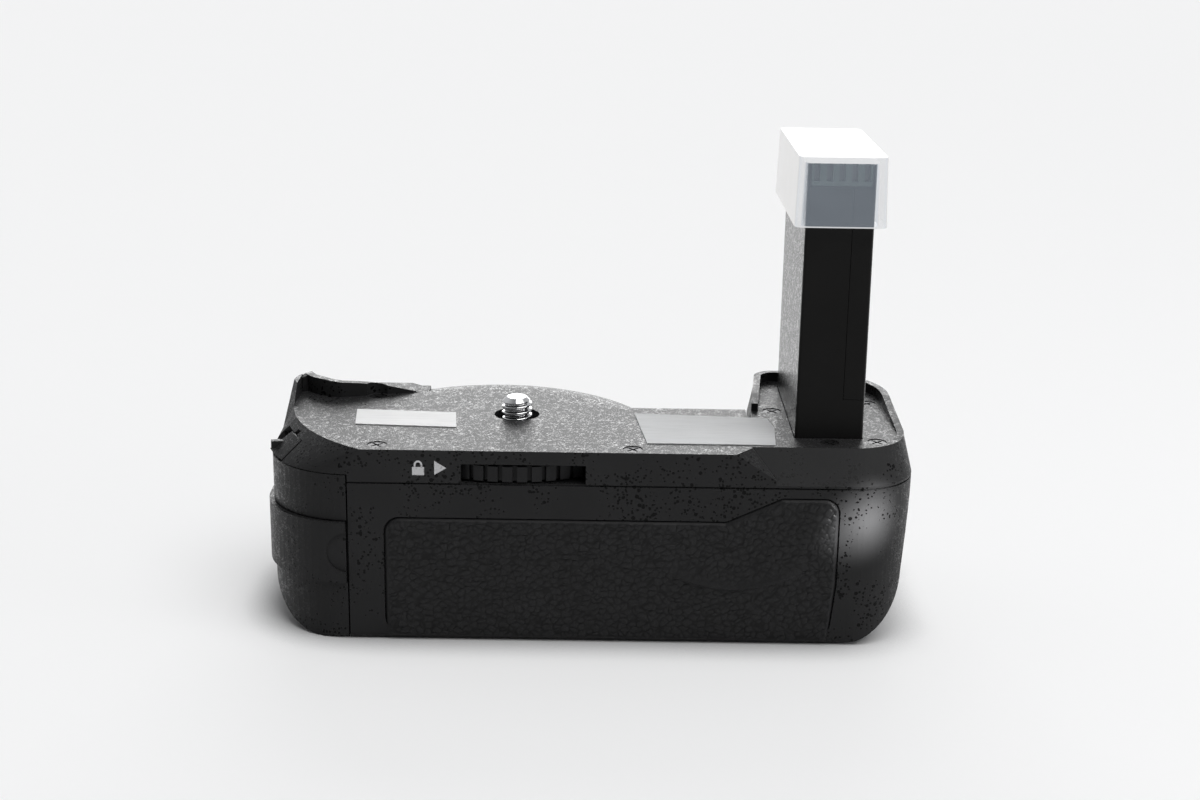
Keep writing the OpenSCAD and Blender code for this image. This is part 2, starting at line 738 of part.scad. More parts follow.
// Hollow under the hand end of the cover, with its screw bosses left standing
module cover_hollow() {
    translate([0, 0, seam_z - cut]) linear_extrude(height = plate_low - seam_z + cut) difference() {
        polygon(concat(
            [[wheel_r + 5, rear_y + hand_inset + wall], [wheel_r + 5, 0], [hand_block_x + 4, 0]],
            [[lobe_left + wall + 2, lobe_far - lobe_inner_r - 3]],
            arc(lobe_c, lobe_r - lobe_inset - wall - 1.5, 90, 0),
            [[right_x - 2 * lobe_inset - wall, -4], [right_x - 8 - wall, rear_y + hand_inset + wall]]));
        at_plate_screws() circle(r = boss_r + 0.2);
    }
}

// Textured rubber pad on the rear face with its thumb ridge
module rear_grip_pad() {
    ridge_at = [44.5, 12.3 + ridge_r];
    color("#242426") union() {
        on_rear(rear_y - pad_proud, rear_y + pad_sink) pad_outline(0);
        on_rear(rear_y - pad_proud - ridge_h, rear_y) intersection() {
            difference() {
                translate(ridge_at) circle(r = ridge_r);
                translate(ridge_at + [-0.6, 2.4]) circle(r = ridge_r + 0.4);
            }
            translate([ridge_at.x, 0]) square([2 * 16, 2 * 20], center = true);
        }
    }
}

// Rubber pad round the lens side of the hand lobe
module lobe_grip_pad() {
    color("#242426") lobe_pad_form(lobe_pad_proud, lobe_pad_sink, 0);
}

// Brass-lined tripod socket in the base
module tripod_socket() {
    color("#b9b7ae") translate([tripod_x, -bulge_back, 0]) difference() {
        union() {
            cylinder(r = tripod_r + wall, h = tripod_depth + wall);
            translate([0, 0, tripod_depth + wall]) cylinder(r = 2 * tripod_r + wall - 0.4, h = 1.2);
        }
        translate([0, 0, -cut]) cylinder(r = tripod_r, h = tripod_depth + cut);
    }
}

// Tapered form of the camera plug, drawn in by inset
module plug_form(inset, z0, z1) {
    k = plug_taper / (plug_top - plate_h);
    translate([plug_x, plug_mid, 0]) hull() for (z = [z0, z1 - slab]) translate([0, 0, z])
        linear_extrude(height = slab) offset(r = plug_edge_r, $fn = 32)
            square([plug_w - k * (z - plate_h) - 2 * (inset + plug_edge_r),
                plug_d - k * (z - plate_h) - 2 * (inset + plug_edge_r)], center = true);
}

// Space of the contact block in the plug's top
module contact_space(gap) {
    box([plug_x - plug_w / 2 + plug_taper + 0.6 - gap, -plug_back - cut, plug_top - contact_h - gap],
        [plug_x + plug_w / 2 - plug_taper - 0.6 + gap, -plug_back + contact_d + gap, plug_top + cut]);
}

// Hollow main shell of the camera plug with its foot below the plate
module plug_shell() {
    color("#2a2a2c") difference() {
        union() {
            plug_form(0, plate_low - slab, plug_top);
            box([plug_x - plug_w / 2 - plug_flange, -plug_back, plug_z0],
                [plug_x + plug_w / 2 + plug_flange, plug_flange_end, plate_low]);
        }
        plug_form(plug_wall, plug_z0 - cut, plug_top - plug_solid_top);
        box([side_split, -clear, side_low], [clear, clear, clear]);
        contact_space(0);
    }
}

// Side cover that closes the plug's right side
module plug_side_cover() {
    color("#262628") difference() {
        intersection() {
            plug_form(0, plate_low - slab, plug_top);
            box([side_split + fit_gap, -clear, side_low + fit_gap], [clear, clear, clear]);
        }
        plug_form(plug_wall, plug_z0 - cut, plug_top - plug_solid_top);
        contact_space(0);
    }
}

// Place and width of the contacts in the plug's top
contact_span = plug_w - 2 * plug_taper - 3.4;
contact_w = 1.2;
contact_depth = 1.4;
contact_front = -plug_back + plug_taper / 2 + 0.1;

// Places its children at every contact in the plug's top
module at_contacts() {
    for (i = [0:contact_count - 1])
        translate([plug_x + contact_span * (i / (contact_count - 1) - 0.5), contact_front, 0])
            children();
}

// Slotted insulator that holds the plug's contacts
module plug_contact_block() {
    color("#3c4b45") difference() {
        intersection() {
            contact_space(-fit_gap);
            box([0, contact_front, 0], [clear, clear, plug_top]);
        }
        at_contacts() translate([-contact_w / 2, -cut, plug_top - contact_h + 1])
            cube([contact_w, contact_depth + cut, contact_h]);
    }
}

// Contact strips in the plug's top
module plug_contacts() {
    color("#c9a24c") at_contacts()
        translate([-contact_w / 2 + fit_gap, contact_depth - contact_t, plug_top - contact_h + 1])
            cube([contact_w - 2 * fit_gap, contact_t, contact_h - 1.4]);
}

// Cross-recess screws that hold the cover to the housing
module cover_screws() {
    color("#4a4a4c") at_plate_screws() difference() {
        union() {
            translate([0, 0, plate_h - head_t - head_sink]) cylinder(r = head_r, h = head_t);
            translate([0, 0, shank_low]) cylinder(r = shank_r, h = plate_h - head_t - head_sink - shank_low);
        }
        for (a = [0, 90]) rotate([0, 0, a + 40]) translate([0, 0, plate_h - head_sink])
            cube([1.5 * head_r, slot_w, head_t], center = true);
    }
}

// Flanged bush that carries the screw's tail and the wheel
module wheel_bush() {
    color("#b08d4a") difference() {
        union() {
            translate([0, 0, tunnel_z1 + fit_gap]) cylinder(r = bush_r, h = seam_z - tunnel_z1 - fit_gap);
            translate([0, 0, seam_z]) cylinder(r = bush_flange_r, h = bush_flange_t);
        }
        cylinder(r = screw_tail_r + shaft_gap, h = clear);
    }
}

// Thumb wheel with finger ridges and a thinned web
module lock_wheel() {
    color("#3a3a3c") translate([0, 0, wheel_z]) difference() {
        cylinder(r = wheel_r, h = wheel_t, $fn = 128);
        translate([0, 0, -cut]) cylinder(r = screw_r + shaft_gap, h = clear);
        for (i = [0:wheel_ridges - 1]) rotate([0, 0, (i + 0.5) * 360 / wheel_ridges])
            translate([wheel_r - wheel_groove_d, -wheel_groove_w / 2, -cut])
                cube([2 * wheel_groove_d, wheel_groove_w, clear]);
        translate([0, 0, wheel_t - 1]) difference() {
            cylinder(r = wheel_r - 4, h = clear);
            cylinder(r = bush_flange_r, h = clear);
        }
    }
}

// Camera screw: tail, wheel seat, flange and thread in one piece
module camera_screw() {
    color("#d8d8da") union() {
        translate([0, 0, tunnel_z1 + 2 * fit_gap]) cylinder(r = screw_tail_r, h = wheel_z - tunnel_z1);
        translate([0, 0, wheel_z]) cylinder(r = screw_r, h = wheel_t);
        translate([0, 0, wheel_top]) cylinder(r = screw_flange_r, h = screw_flange_t);
        translate([0, 0, wheel_top]) cylinder(r = screw_neck_r, h = plate_h - wheel_top + cut);
        translate([0, 0, plate_h]) cylinder(r = screw_r, h = screw_reach - screw_chamfer);
        translate([0, 0, screw_top - screw_chamfer])
            cylinder(r1 = screw_r, r2 = screw_r - screw_chamfer, h = screw_chamfer);
    }
}

// Form of the protective cap, outside or inside
module cap_form(grow, z0, z1) {
    core = [cap_in_w, cap_in_d] + 2 * (grow - cap_edge_r) * [1, 1];
    translate([plug_x, plug_mid, 0]) hull() for (level = [[z0, cap_flare], [z1 - slab, 0]])
        translate([0, 0, level[0]]) linear_extrude(height = slab) offset(r = cap_edge_r, $fn = 32)
            square(core + level[1] * [1, 1], center = true);
}

// Frosted cap that protects the plug's contacts
module protective_cap() {
    color("#eeeeee", 0.6) difference() {
        cap_form(cap_wall, cap_low, cap_low + cap_h);
        cap_form(0, cap_low - slab, cap_low + cap_h - cap_wall);
    }
}

// Open frame with a bay for one battery above and one below its shelf
module tray_frame() {
    color("#2f2f31") difference() {
        intersection() {
            box([tray_x0, tray_y0, tray_z0], [tray_x1, tray_y1, tray_z1]);
            body_form(wall + fit_gap);
        }
        for (z = [[tray_z0 - cut, tray_shelf_z], [tray_shelf_z + tray_wall, tray_z1 + cut]])
            box([tray_x0 + tray_wall, tray_y0 + tray_wall, z[0]],
                [tray_x1 - tray_wall, tray_y1 - tray_wall, z[1]]);
        at_tray_screws() cylinder(r = shank_r + fit_gap, h = 4 * tray_wall, center = true);
        at_tray_screws() translate([0, 0, tray_wall - head_t]) cylinder(r = head_r + head_gap, h = tray_wall);
    }
}

// Places its children at the screws between tray frame and end cap, +Z into the bay
module at_tray_screws() {
    for (s = [-1, 1]) translate([tray_x0, terminal_y + s * 8, tray_z1 - 3.6]) rotate([0, 90, 0]) children();
}

// Screws between tray frame and end cap
module tray_screws() {
    color("#6a6a6c") at_tray_screws() {
        translate([0, 0, tray_wall - head_t]) cylinder(r = head_r, h = head_t);
        translate([0, 0, -4]) cylinder(r = shank_r, h = 4 + tray_wall - head_t);
    }
}

// Plan of the pull flap's band, drawn between two offsets of the housing plan
module flap_band(out, sink) {
    intersection() {
        difference() {
            offset(delta = out) polygon(lower_plan);
            offset(delta = -sink) polygon(lower_plan);
        }
        polygon([[-clear, -clear], [tray_seam_x, -clear], [tray_seam_x, corner_c.y - 2],
            [hinge_c.x, corner_c.y - 2], [hinge_c.x, flap_hinge_y], [-clear, flap_hinge_y]]);
    }
}

// End cap of the tray with the pull flap's seat
module tray_end_cap() {
    color("#2d2d2f") difference() {
        body_slice(0, -clear, tray_seam_x - tray_gap, 0, end_cap_top - 0.2);
        body_slice(wall, tray_x0, clear, tray_z0 - fit_gap, tray_z1 + tray_gap);
        translate([0, 0, flap_low - flap_gap]) linear_extrude(height = flap_h + 2 * flap_gap) {
            flap_band(2 * flap_t, flap_t - flap_proud + flap_gap);
            translate(hinge_c) circle(r = knuckle_r + flap_gap);
        }
        translate([hinge_c.x, hinge_c.y, flap_low - 3]) cylinder(r = pin_r + shaft_gap, h = flap_h + 6);
        at_tray_screws() translate([0, 0, -4.5]) cylinder(r = shank_r + shaft_gap, h = 5);
    }
}

// Hinged pull flap that wraps the end of the tray
module pull_flap() {
    color("#303032") translate([0, 0, flap_low]) difference() {
        linear_extrude(height = flap_h) difference() {
            union() {
                intersection() {
                    flap_band(flap_proud, flap_t - flap_proud);
                    translate([tray_seam_x - clear - tray_gap - 0.2, -clear]) square([clear, 2 * clear]);
                }
                translate(hinge_c) circle(r = knuckle_r);
            }
            translate(hinge_c) circle(r = pin_r + shaft_gap);
        }
        translate([tray_seam_x, rear_y - flap_proud + nail_depth, flap_h / 2]) rotate([90, 0, 0])
            cylinder(r = nail_r, h = clear);
    }
}

// Pin of the flap's hinge
module flap_pin() {
    color("#c4c4c6") translate([hinge_c.x, hinge_c.y, flap_low - 2.9]) cylinder(r = pin_r, h = flap_h + 5.8);
}

// Contact strips on the inner end of the tray
module tray_contacts() {
    color("#c9a24c") at_terminals() translate([tray_x1, -terminal_w / 2, -terminal_h / 2])
        cube([contact_t, terminal_w, terminal_h]);
}

// Places its children at each battery terminal
module at_terminals() {
    for (i = [0:terminal_count - 1])
        translate([0, terminal_y + (i - (terminal_count - 1) / 2) * terminal_pitch, terminal_z]) children();
}

// Body of the terminal block in the bulkhead, grown by gap
module terminal_form(gap) {
    box([tunnel_x1 - cut, terminal_y - terminal_block_w / 2 - gap, terminal_z - terminal_block_h / 2 - gap],
        [bulkhead_x + cut, terminal_y + terminal_block_w / 2 + gap, terminal_z + terminal_block_h / 2 + gap]);
}

// Insulator in the bulkhead that carries the terminal springs
module terminal_block() {
    color("#1f1f20") intersection() {
        terminal_form(0);
        box([tunnel_x1 + spring_reach, -clear, 0], [bulkhead_x, clear, clear]);
    }
}

// Sprung blades that meet the tray's contacts
module terminal_springs() {
    color("#c9a24c") at_terminals() translate([tunnel_x1 + spring_reach, 0, 0]) rotate([90, 0, 0])
        linear_extrude(height = terminal_w - 0.4, center = true) polygon([
            [0, -terminal_h / 2], [0, terminal_h / 2], [-0.15, terminal_h / 2],
            [-spring_reach - 0.1, 0], [-0.15, -terminal_h / 2]]);
}

// Sliding tray lock with its finger nub
module tray_lock() {
    color("#38383a") union() {
        sector(corner_c, lock_in, lock_out, lock_a0, lock_a1, lock_z, lock_top);
        sector(corner_c, lock_in - lock_tongue, lock_in + cut, lock_a0, lock_a1,
            lock_z + lock_gap / 2, lock_z + lock_tongue_h);
        sector(corner_c, lock_out - 1, lock_out + nub_reach, nub_start, nub_start + nub_angle,
            lock_top - nub_h / 2, lock_top + nub_h / 2);
    }
}

// Release button with a dished top and a stem
module shutter_button() {
    dish_r = 14;
    color("#3c3c3e") at_button() difference() {
        union() {
            translate([0, 0, button_low]) cylinder(r = button_r, h = button_top - button_low);
            translate([0, 0, button_stem_low]) cylinder(r = button_stem_r, h = button_low - button_stem_low + cut);
        }
        translate([0, 0, button_top + dish_r - 0.5]) sphere(r = dish_r);
    }
}

// Ring with a small lever that locks the release button
module shutter_lock_ring() {
    color("#343436") at_button() difference() {
        union() {
            translate([0, 0, ring_z]) cylinder(r = ring_r, h = ring_top - ring_z);
            translate([-lever_reach, -lever_w / 2, lever_low]) cube([lever_reach, lever_w, ring_top - lever_low]);
        }
        cylinder(r = ring_in_r, h = clear);
    }
}

// Switch under the release button
module release_switch() {
    color("#202022") at_button() union() {
        translate([0, 0, switch_top - switch_h / 2]) cube([switch_size, switch_size, switch_h], center = true);
        translate([0, 0, switch_top - cut]) cylinder(r = plunger_r, h = plunger_top - switch_top + cut);
    }
}

// Small board that carries the release switch
module release_board() {
    color("#2c5a3a") at_button() translate([0, 0, release_back - release_board_t / 2]) difference() {
        cube([release_board_size.y, release_board_size.x, release_board_t], center = true);
        for (s = [-1, 1]) translate([s * release_screw_y, 0, -clear / 2])
            cylinder(r = small_shank_r + fit_gap, h = clear);
    }
}

// Screws of the release board
module release_screws() {
    color("#6a6a6c") at_button() for (s = [-1, 1]) translate([s * release_screw_y, 0, 0]) union() {
        translate([0, 0, release_back - release_board_t])
            cylinder(r = small_shank_r, h = release_board_t + 3);
        translate([0, 0, release_back - release_board_t - head_t])
            cylinder(r = head_r - 0.3, h = head_t);
    }
}

// Control board on its posts
module control_board() {
    color("#2c5a3a") difference() {
        translate([board_at.x, board_at.y, board_z]) cube([board_size.x, board_size.y, board_t]);
        board_holes();
    }
}

// Controller on the control board
module control_chip() {
    middle = board_at + board_size / 2;
    color("#1c1c1e") translate([middle.x, middle.y, board_z + board_t + chip_size.z / 2])
        cube(chip_size, center = true);
}

// Screws of the control board
module board_screws() {
    color("#6a6a6c") for (p = board_corners()) translate([p.x, p.y, board_z + board_t]) union() {
        translate([0, 0, -board_screw_l]) cylinder(r = shank_r, h = board_screw_l);
        cylinder(r = head_r, h = head_t);
    }
}

// Bare silver label beside the camera screw
module small_label() {
    color("#d9d9d8") translate([-22.9, -3.9, plate_h]) rotate([0, 0, -4]) linear_extrude(height = label_t)
        square([21, 10.3], center = true);
}

// Bare grey label on the neck, with one cut corner
module large_label() {
    color("#b9babb") translate([38.1, -8.8, plate_h]) rotate([0, 0, -3]) linear_extrude(height = label_t)
        polygon([[-13.7, -9.6], [13.2, -9.6], [13.9, -8], [13.9, 8.2], [12.2, 9.8], [-13.7, 9.8]]);
}

main_housing();
tray_deck();
top_cover();
rear_grip_pad();
lobe_grip_pad();
tripod_socket();
plug_shell();
plug_side_cover();
plug_contact_block();
plug_contacts();
cover_screws();
wheel_bush();
lock_wheel();
camera_screw();
protective_cap();
tray_frame();
tray_end_cap();
tray_screws();
tray_contacts();
pull_flap();
flap_pin();
tray_lock();
shutter_button();
shutter_lock_ring();
release_switch();
release_board();
release_screws();
terminal_block();
terminal_springs();
control_board();
control_chip();
board_screws();
small_label();
large_label();
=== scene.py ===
"""Looks of a camera battery grip: finishes, grained rubber, a threaded camera screw and a studio.

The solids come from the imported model. This script dresses them and replaces the pieces whose
surface needs more than a solid gives. All lengths in the classes are millimetres.
"""

from __future__ import annotations

import logging
import math
from dataclasses import dataclass
from enum import Enum
from typing import Any, Union

import bmesh
import bpy
from mathutils import Matrix, Vector, noise

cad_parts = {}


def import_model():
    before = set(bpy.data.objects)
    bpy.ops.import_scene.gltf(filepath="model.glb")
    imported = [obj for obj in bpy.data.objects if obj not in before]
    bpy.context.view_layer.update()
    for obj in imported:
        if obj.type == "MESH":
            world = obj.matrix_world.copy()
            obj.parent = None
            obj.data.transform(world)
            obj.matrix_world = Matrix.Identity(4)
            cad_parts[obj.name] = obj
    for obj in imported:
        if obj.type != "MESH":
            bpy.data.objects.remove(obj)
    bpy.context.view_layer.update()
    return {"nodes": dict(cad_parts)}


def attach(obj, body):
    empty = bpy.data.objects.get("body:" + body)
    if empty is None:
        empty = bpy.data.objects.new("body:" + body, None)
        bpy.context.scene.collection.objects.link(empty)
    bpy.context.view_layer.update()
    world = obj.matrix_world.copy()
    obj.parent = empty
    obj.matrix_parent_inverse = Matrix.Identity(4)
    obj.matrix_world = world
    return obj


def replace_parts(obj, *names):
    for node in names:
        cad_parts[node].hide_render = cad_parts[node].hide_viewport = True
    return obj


LOG = logging.getLogger("battery_grip")
MM = 0.001
CREASE = "crease"
SHARP_DEGREES = 38.0
UNSTRETCHED = (1.0, 1.0, 1.0)
Colour = tuple[float, float, float]
Number = Union[float, "Field"]


class Body(Enum):
    """Rigid bodies of the grip that new pieces ride on."""

    HOUSING = "housing"
    WHEEL = "wheel"
    LOCK = "lock"


class Slot(Enum):
    """Material slot names for new pieces; make_piece takes them but does not read them."""

    RUBBER = "grip_rubber"
    SCREW = "bright_screw"
    SILVER = "silver_label"
    GREY = "grey_label"
    COVER = "cover_plastic"
    CONTROL = "wheel_plastic"


class Field:
    """A shader value that takes part in Python expressions."""

    def __init__(self, graph: "Graph", socket: bpy.types.NodeSocket) -> None:
        """Keeps the graph and the output socket that carries the value."""
        self.graph = graph
        self.socket = socket

    def _math(self, operation: str, left: Number, right: Number) -> "Field":
        """Adds a Math node for two values."""
        return self.graph.add("ShaderNodeMath", {"operation": operation}, {0: left, 1: right})

    def __add__(self, other: Number) -> "Field":
        """Sum of two values."""
        return self._math("ADD", self, other)

    def __radd__(self, other: Number) -> "Field":
        """Sum with a number on the left."""
        return self._math("ADD", other, self)

    def __sub__(self, other: Number) -> "Field":
        """Difference of two values."""
        return self._math("SUBTRACT", self, other)

    def __rsub__(self, other: Number) -> "Field":
        """Difference with a number on the left."""
        return self._math("SUBTRACT", other, self)

    def __mul__(self, other: Number) -> "Field":
        """Product of two values."""
        return self._math("MULTIPLY", self, other)

    def __rmul__(self, other: Number) -> "Field":
        """Product with a number on the left."""
        return self._math("MULTIPLY", other, self)


class Graph:
    """Node tree of one material or of the surround."""

    def __init__(
        self, owner: Union[bpy.types.Material, bpy.types.World], shader: str = "Principled BSDF"
    ) -> None:
        """Takes over a default tree and keeps its shader.

        Args:
            owner: Material or world with its default tree.
            shader: Name of the shader node in that tree.
        """
        owner.use_nodes = True
        self.tree = owner.node_tree
        self.shader = self.tree.nodes[shader]
        self._place: Field | None = None

    def add(
        self,
        kind: str,
        settings: dict[str, Any] | None = None,
        sockets: dict[int | str, Any] | None = None,
        out: int | str = 0,
    ) -> Field:
        """Adds any node, with its settings first and then its sockets.

        Args:
            kind: Node type.
            settings: Values of the node itself, such as an operation.
            sockets: Values or fields for the node's inputs.
            out: Output that the result carries.

        Returns:
            The chosen output as a field.
        """
        node = self.tree.nodes.new(kind)
        for key, value in (settings or {}).items():
            setattr(node, key, value)
        for key, value in (sockets or {}).items():
            if isinstance(value, Field):
                self.tree.links.new(value.socket, node.inputs[key])
            else:
                node.inputs[key].default_value = value
        return Field(self, node.outputs[out])

    def place(self) -> Field:
        """Position on the piece in metres, shared by all textures of the material."""
        if self._place is None:
            self._place = self.add("ShaderNodeTexCoord", out="Object")
        return self._place

    def grain(
        self, size: float, detail: float = 2.0, warp: float = 0.0, stretch: Colour = UNSTRETCHED
    ) -> Field:
        """Cloudy noise with features of about one size.

        Args:
            size: Feature size in millimetres.
            detail: Octaves of finer noise.
            warp: Distortion of the noise.
            stretch: Scale along X, Y and Z, for brushed or drawn marks.

        Returns:
            The noise from 0 to 1.
        """
        at = self.place()
        if stretch != UNSTRETCHED:
            at = self.add("ShaderNodeVectorMath", {"operation": "MULTIPLY"}, {0: at, 1: stretch})
        return self.add(
            "ShaderNodeTexNoise",
            None,
            {"Vector": at, "Scale": 1 / (size * MM), "Detail": detail, "Distortion": warp},
        )

    def cells(self, size: float, feature: str = "F1") -> Field:
        """Cell distances with cells of about one size.

        Args:
            size: Cell size in millimetres.
            feature: Voronoi feature to read.

        Returns:
            The distance, in cell widths.
        """
        return self.add(
            "ShaderNodeTexVoronoi",
            {"feature": feature},
            {"Vector": self.place(), "Scale": 1 / (size * MM)},
            "Distance",
        )

    def step(self, value: Field, low: float, high: float) -> Field:
        """Smooth mask that goes from 0 at low to 1 at high."""
        return self.add(
            "ShaderNodeMapRange",
            {"interpolation_type": "SMOOTHSTEP"},
            {"Value": value, "From Min": low, "From Max": high},
        )

    def blend(self, mask: Field, first: Any, second: Any) -> Field:
        """Mixes two colours.

        Args:
            mask: Share of the second colour.
            first: Colour or field where the mask is 0.
            second: Colour or field where the mask is 1.

        Returns:
            The mixed colour.
        """
        pair = [(*c, 1.0) if isinstance(c, tuple) else c for c in (first, second)]
        return self.add("ShaderNodeMix", {"data_type": "RGBA"}, {0: mask, 6: pair[0], 7: pair[1]}, 2)

    def relief(self, height: Field, depth: float) -> None:
        """Bumps the shader's normal.

        Args:
            height: Height from 0 to 1.
            depth: Real depth of the relief in millimetres.
        """
        sockets = {"Strength": 1.0, "Distance": depth * MM, "Height": height}
        self.set("Normal", self.add("ShaderNodeBump", None, sockets, "Normal"))

    def set(self, name: str, value: Any) -> None:
        """Sets or links one socket of the shader."""
        if isinstance(value, Field):
            self.tree.links.new(value.socket, self.shader.inputs[name])
        elif isinstance(value, tuple):
            self.shader.inputs[name].default_value = (*value, 1.0)
        else:
            self.shader.inputs[name].default_value = value


@dataclass(frozen=True)
class Finish:
    """A named finish that makes one material."""

    name: str
    colour: Colour

    def material(self) -> bpy.types.Material:
        """Makes the material once and returns it."""
        title = f"look_{self.name}"
        made = bpy.data.materials.get(title)
        if made is None:
            made = bpy.data.materials.new(title)
            self.paint(Graph(made))
        return made

    def paint(self, graph: Graph) -> None:
        """Builds the nodes of the finish."""
        raise NotImplementedError


@dataclass(frozen=True)
class SpatterPlastic(Finish):
    """Moulded plastic with a rough ground and small smooth drops.

    Seen along the surface, the ground shines grey and its tips shine brighter. The drops carry a painted
    dark reflection: their colour is nearly black.
    """

    ground: float = 0.5
    drop: float = 0.24
    drop_size: float = 0.85
    share: float = 0.34
    large_share: float = 0.24
    depth: float = 0.03
    specular: float = 0.1
    sheen: float = 0.2
    tips: float = 0.75
    tip_size: float = 0.42
    tip_spread: float = 1.4
    fine_size: float = 0.28
    crowd_size: float = 7.0
    cloud_size: float = 14.0
    coat_roughness: float = 0.38
    coat_ior: float = 1.6

    def paint(self, graph: Graph) -> None:
        """Builds the rough ground, the drops in two sizes with their painted dark reflection, and the shine
        along the surface.
        """
        fine = graph.grain(self.fine_size, 2.0)
        crowd = graph.step(graph.grain(self.crowd_size, 2.0), 0.32, 0.58)
        small = graph.step(self.share * crowd - graph.cells(self.drop_size), 0.0, 0.07)
        large = graph.step(self.large_share * crowd - graph.cells(2.3 * self.drop_size), 0.0, 0.04)
        drops = graph.step(small + large, 0.1, 0.9)
        cloud = graph.grain(self.cloud_size, 3.0)
        # painted dark reflection: the drops are coloured nearly black
        painted_dark = tuple(0.1 * c for c in self.colour)
        low = tuple(0.8 * c for c in self.colour)
        high = tuple(1.2 * c for c in self.colour)
        graph.set("Base Color", graph.blend(drops, graph.blend(cloud, low, high), painted_dark))
        graph.set("Roughness", self.ground + 0.12 * fine - (self.ground + 0.06 - self.drop) * drops)
        graph.set("Specular IOR Level", self.specular)
        along = graph.step(graph.add("ShaderNodeLayerWeight", None, {"Blend": 0.5}, "Facing"), 0.15, 0.75)
        reach = 1.1 * graph.grain(self.tip_spread, 2.0) - 0.16
        tip = graph.step(reach - graph.cells(self.tip_size), 0.0, 0.15)
        graph.set("Coat Weight", along * (self.sheen * (0.6 + 0.8 * fine) + self.tips * tip))
        graph.set("Coat Roughness", self.coat_roughness)
        graph.set("Coat IOR", self.coat_ior)
        graph.relief(0.55 * fine + 0.45 * drops, self.depth)


@dataclass(frozen=True)
class SatinPlastic(Finish):
    """Smooth moulded plastic with a faint grain and handling marks."""

    roughness: float = 0.42
    size: float = 0.35
    depth: float = 0.008
    specular: float = 0.3

    def paint(self, graph: Graph) -> None:
        """Builds the grain, the cloudy handling marks and the roughness."""
        fine = graph.grain(self.size, 2.0)
        marks = graph.grain(6.0, 4.0, 0.4)
        light = tuple(min(1.0, 1.35 * c) for c in self.colour)
        graph.set("Base Color", graph.blend(marks, self.colour, light))
        graph.set("Roughness", self.roughness + 0.12 * (marks - 0.5) + 0.1 * (fine - 0.5))
        graph.set("Specular IOR Level", self.specular)
        graph.relief(fine, self.depth)


@dataclass(frozen=True)
class GrainRubber(Finish):
    """Black rubber whose large grain is in the mesh, with a fine skin of its own."""

    roughness: float = 0.5
    specular: float = 0.2

    def paint(self, graph: Graph) -> None:
        """Builds the fine skin, the dust in it and the painted shade that darkens the creases of the grain.
        """
        fine = graph.grain(0.22, 3.0)
        cloud = graph.grain(9.0, 3.0)
        crease = graph.add("ShaderNodeAttribute", {"attribute_name": CREASE}, None, "Fac")
        light = tuple(1.6 * c for c in self.colour)
        painted_dark = tuple(0.3 * c for c in self.colour)
        skin = graph.blend(graph.step(fine + 0.4 * cloud, 0.62, 0.95), self.colour, light)
        # painted shade: the colour darkens with the depth of each crease
        graph.set("Base Color", graph.blend(crease, skin, painted_dark))
        graph.set("Roughness", self.roughness + 0.16 * (fine - 0.5) + 0.1 * (cloud - 0.5))
        graph.set("Specular IOR Level", self.specular)
        graph.relief(fine, 0.02)


@dataclass(frozen=True)
class PlatedMetal(Finish):
    """Plated or bare metal with fine turning marks."""

    roughness: float = 0.2
    marks: float = 0.08
    stretch: Colour = (1.0, 1.0, 12.0)

    def paint(self, graph: Graph) -> None:
        """Builds the turning marks and the stains in the plating."""
        lines = graph.grain(0.8, 3.0, 0.0, self.stretch)
        stains = graph.grain(2.6, 3.0, 0.5)
        dull = tuple(0.72 * c for c in self.colour)
        stained = graph.step(stains, 0.5, 0.8)
        graph.set("Base Color", graph.blend(stained, self.colour, dull))
        graph.set("Metallic", 1.0)
        graph.set("Roughness", self.roughness + self.marks * (lines - 0.5) + 0.1 * stained)
        graph.relief(lines, 0.004)


@dataclass(frozen=True)
class FrostedPolymer(Finish):
    """Milky see-through plastic of the protective cap, with a painted glow."""

    veil: float = 0.11
    edge: float = 0.82
    glow: float = 0.8
    # painted glow colours: depth where the wall is seen face on, rim where it is seen edge on
    depth: Colour = (0.76, 0.87, 1.0)
    rim: Colour = (0.74, 0.736, 0.732)

    def paint(self, graph: Graph) -> None:
        """Builds the milky veil, denser where the wall is seen edge on, and a painted glow: bluish where
        the wall is seen face on, grey where it is seen edge on.
        """
        cloud = graph.grain(7.0, 3.0)
        facing = graph.step(graph.add("ShaderNodeLayerWeight", None, {"Blend": 0.5}, "Facing"), 0.12, 0.72)
        graph.set("Base Color", graph.blend(cloud, self.colour, tuple(0.96 * c for c in self.colour)))
        graph.set("Alpha", self.veil + self.edge * facing + 0.04 * (cloud - 0.5))
        graph.set("Roughness", 0.26 + 0.12 * cloud)
        # painted glow: the cap emits light though it is no lamp
        graph.set("Emission Color", graph.blend(facing, self.depth, self.rim))
        graph.set("Emission Strength", self.glow)
        graph.set("Specular IOR Level", 0.03)
        graph.relief(graph.grain(0.5, 2.0), 0.006)


@dataclass(frozen=True)
class FoilLabel(Finish):
    """Bare metallised film with a fine brushed streak."""

    roughness: float = 0.5
    metal: float = 0.1
    specular: float = 0.1

    def paint(self, graph: Graph) -> None:
        """Builds the streaks, the specks and the soft bands of the film."""
        streak = graph.grain(1.6, 4.0, 0.0, (0.25, 3.0, 1.0))
        specks = graph.step(graph.grain(0.3, 2.0), 0.62, 0.72)
        dull = tuple(0.92 * c for c in self.colour)
        graph.set("Base Color", graph.blend(graph.step(streak, 0.35, 0.75), self.colour, dull))
        graph.set("Metallic", self.metal)
        graph.set("Roughness", self.roughness + 0.18 * (streak - 0.5) + 0.12 * specks)
        graph.set("Specular IOR Level", self.specular)
        graph.relief(streak + 0.4 * specks, 0.006)


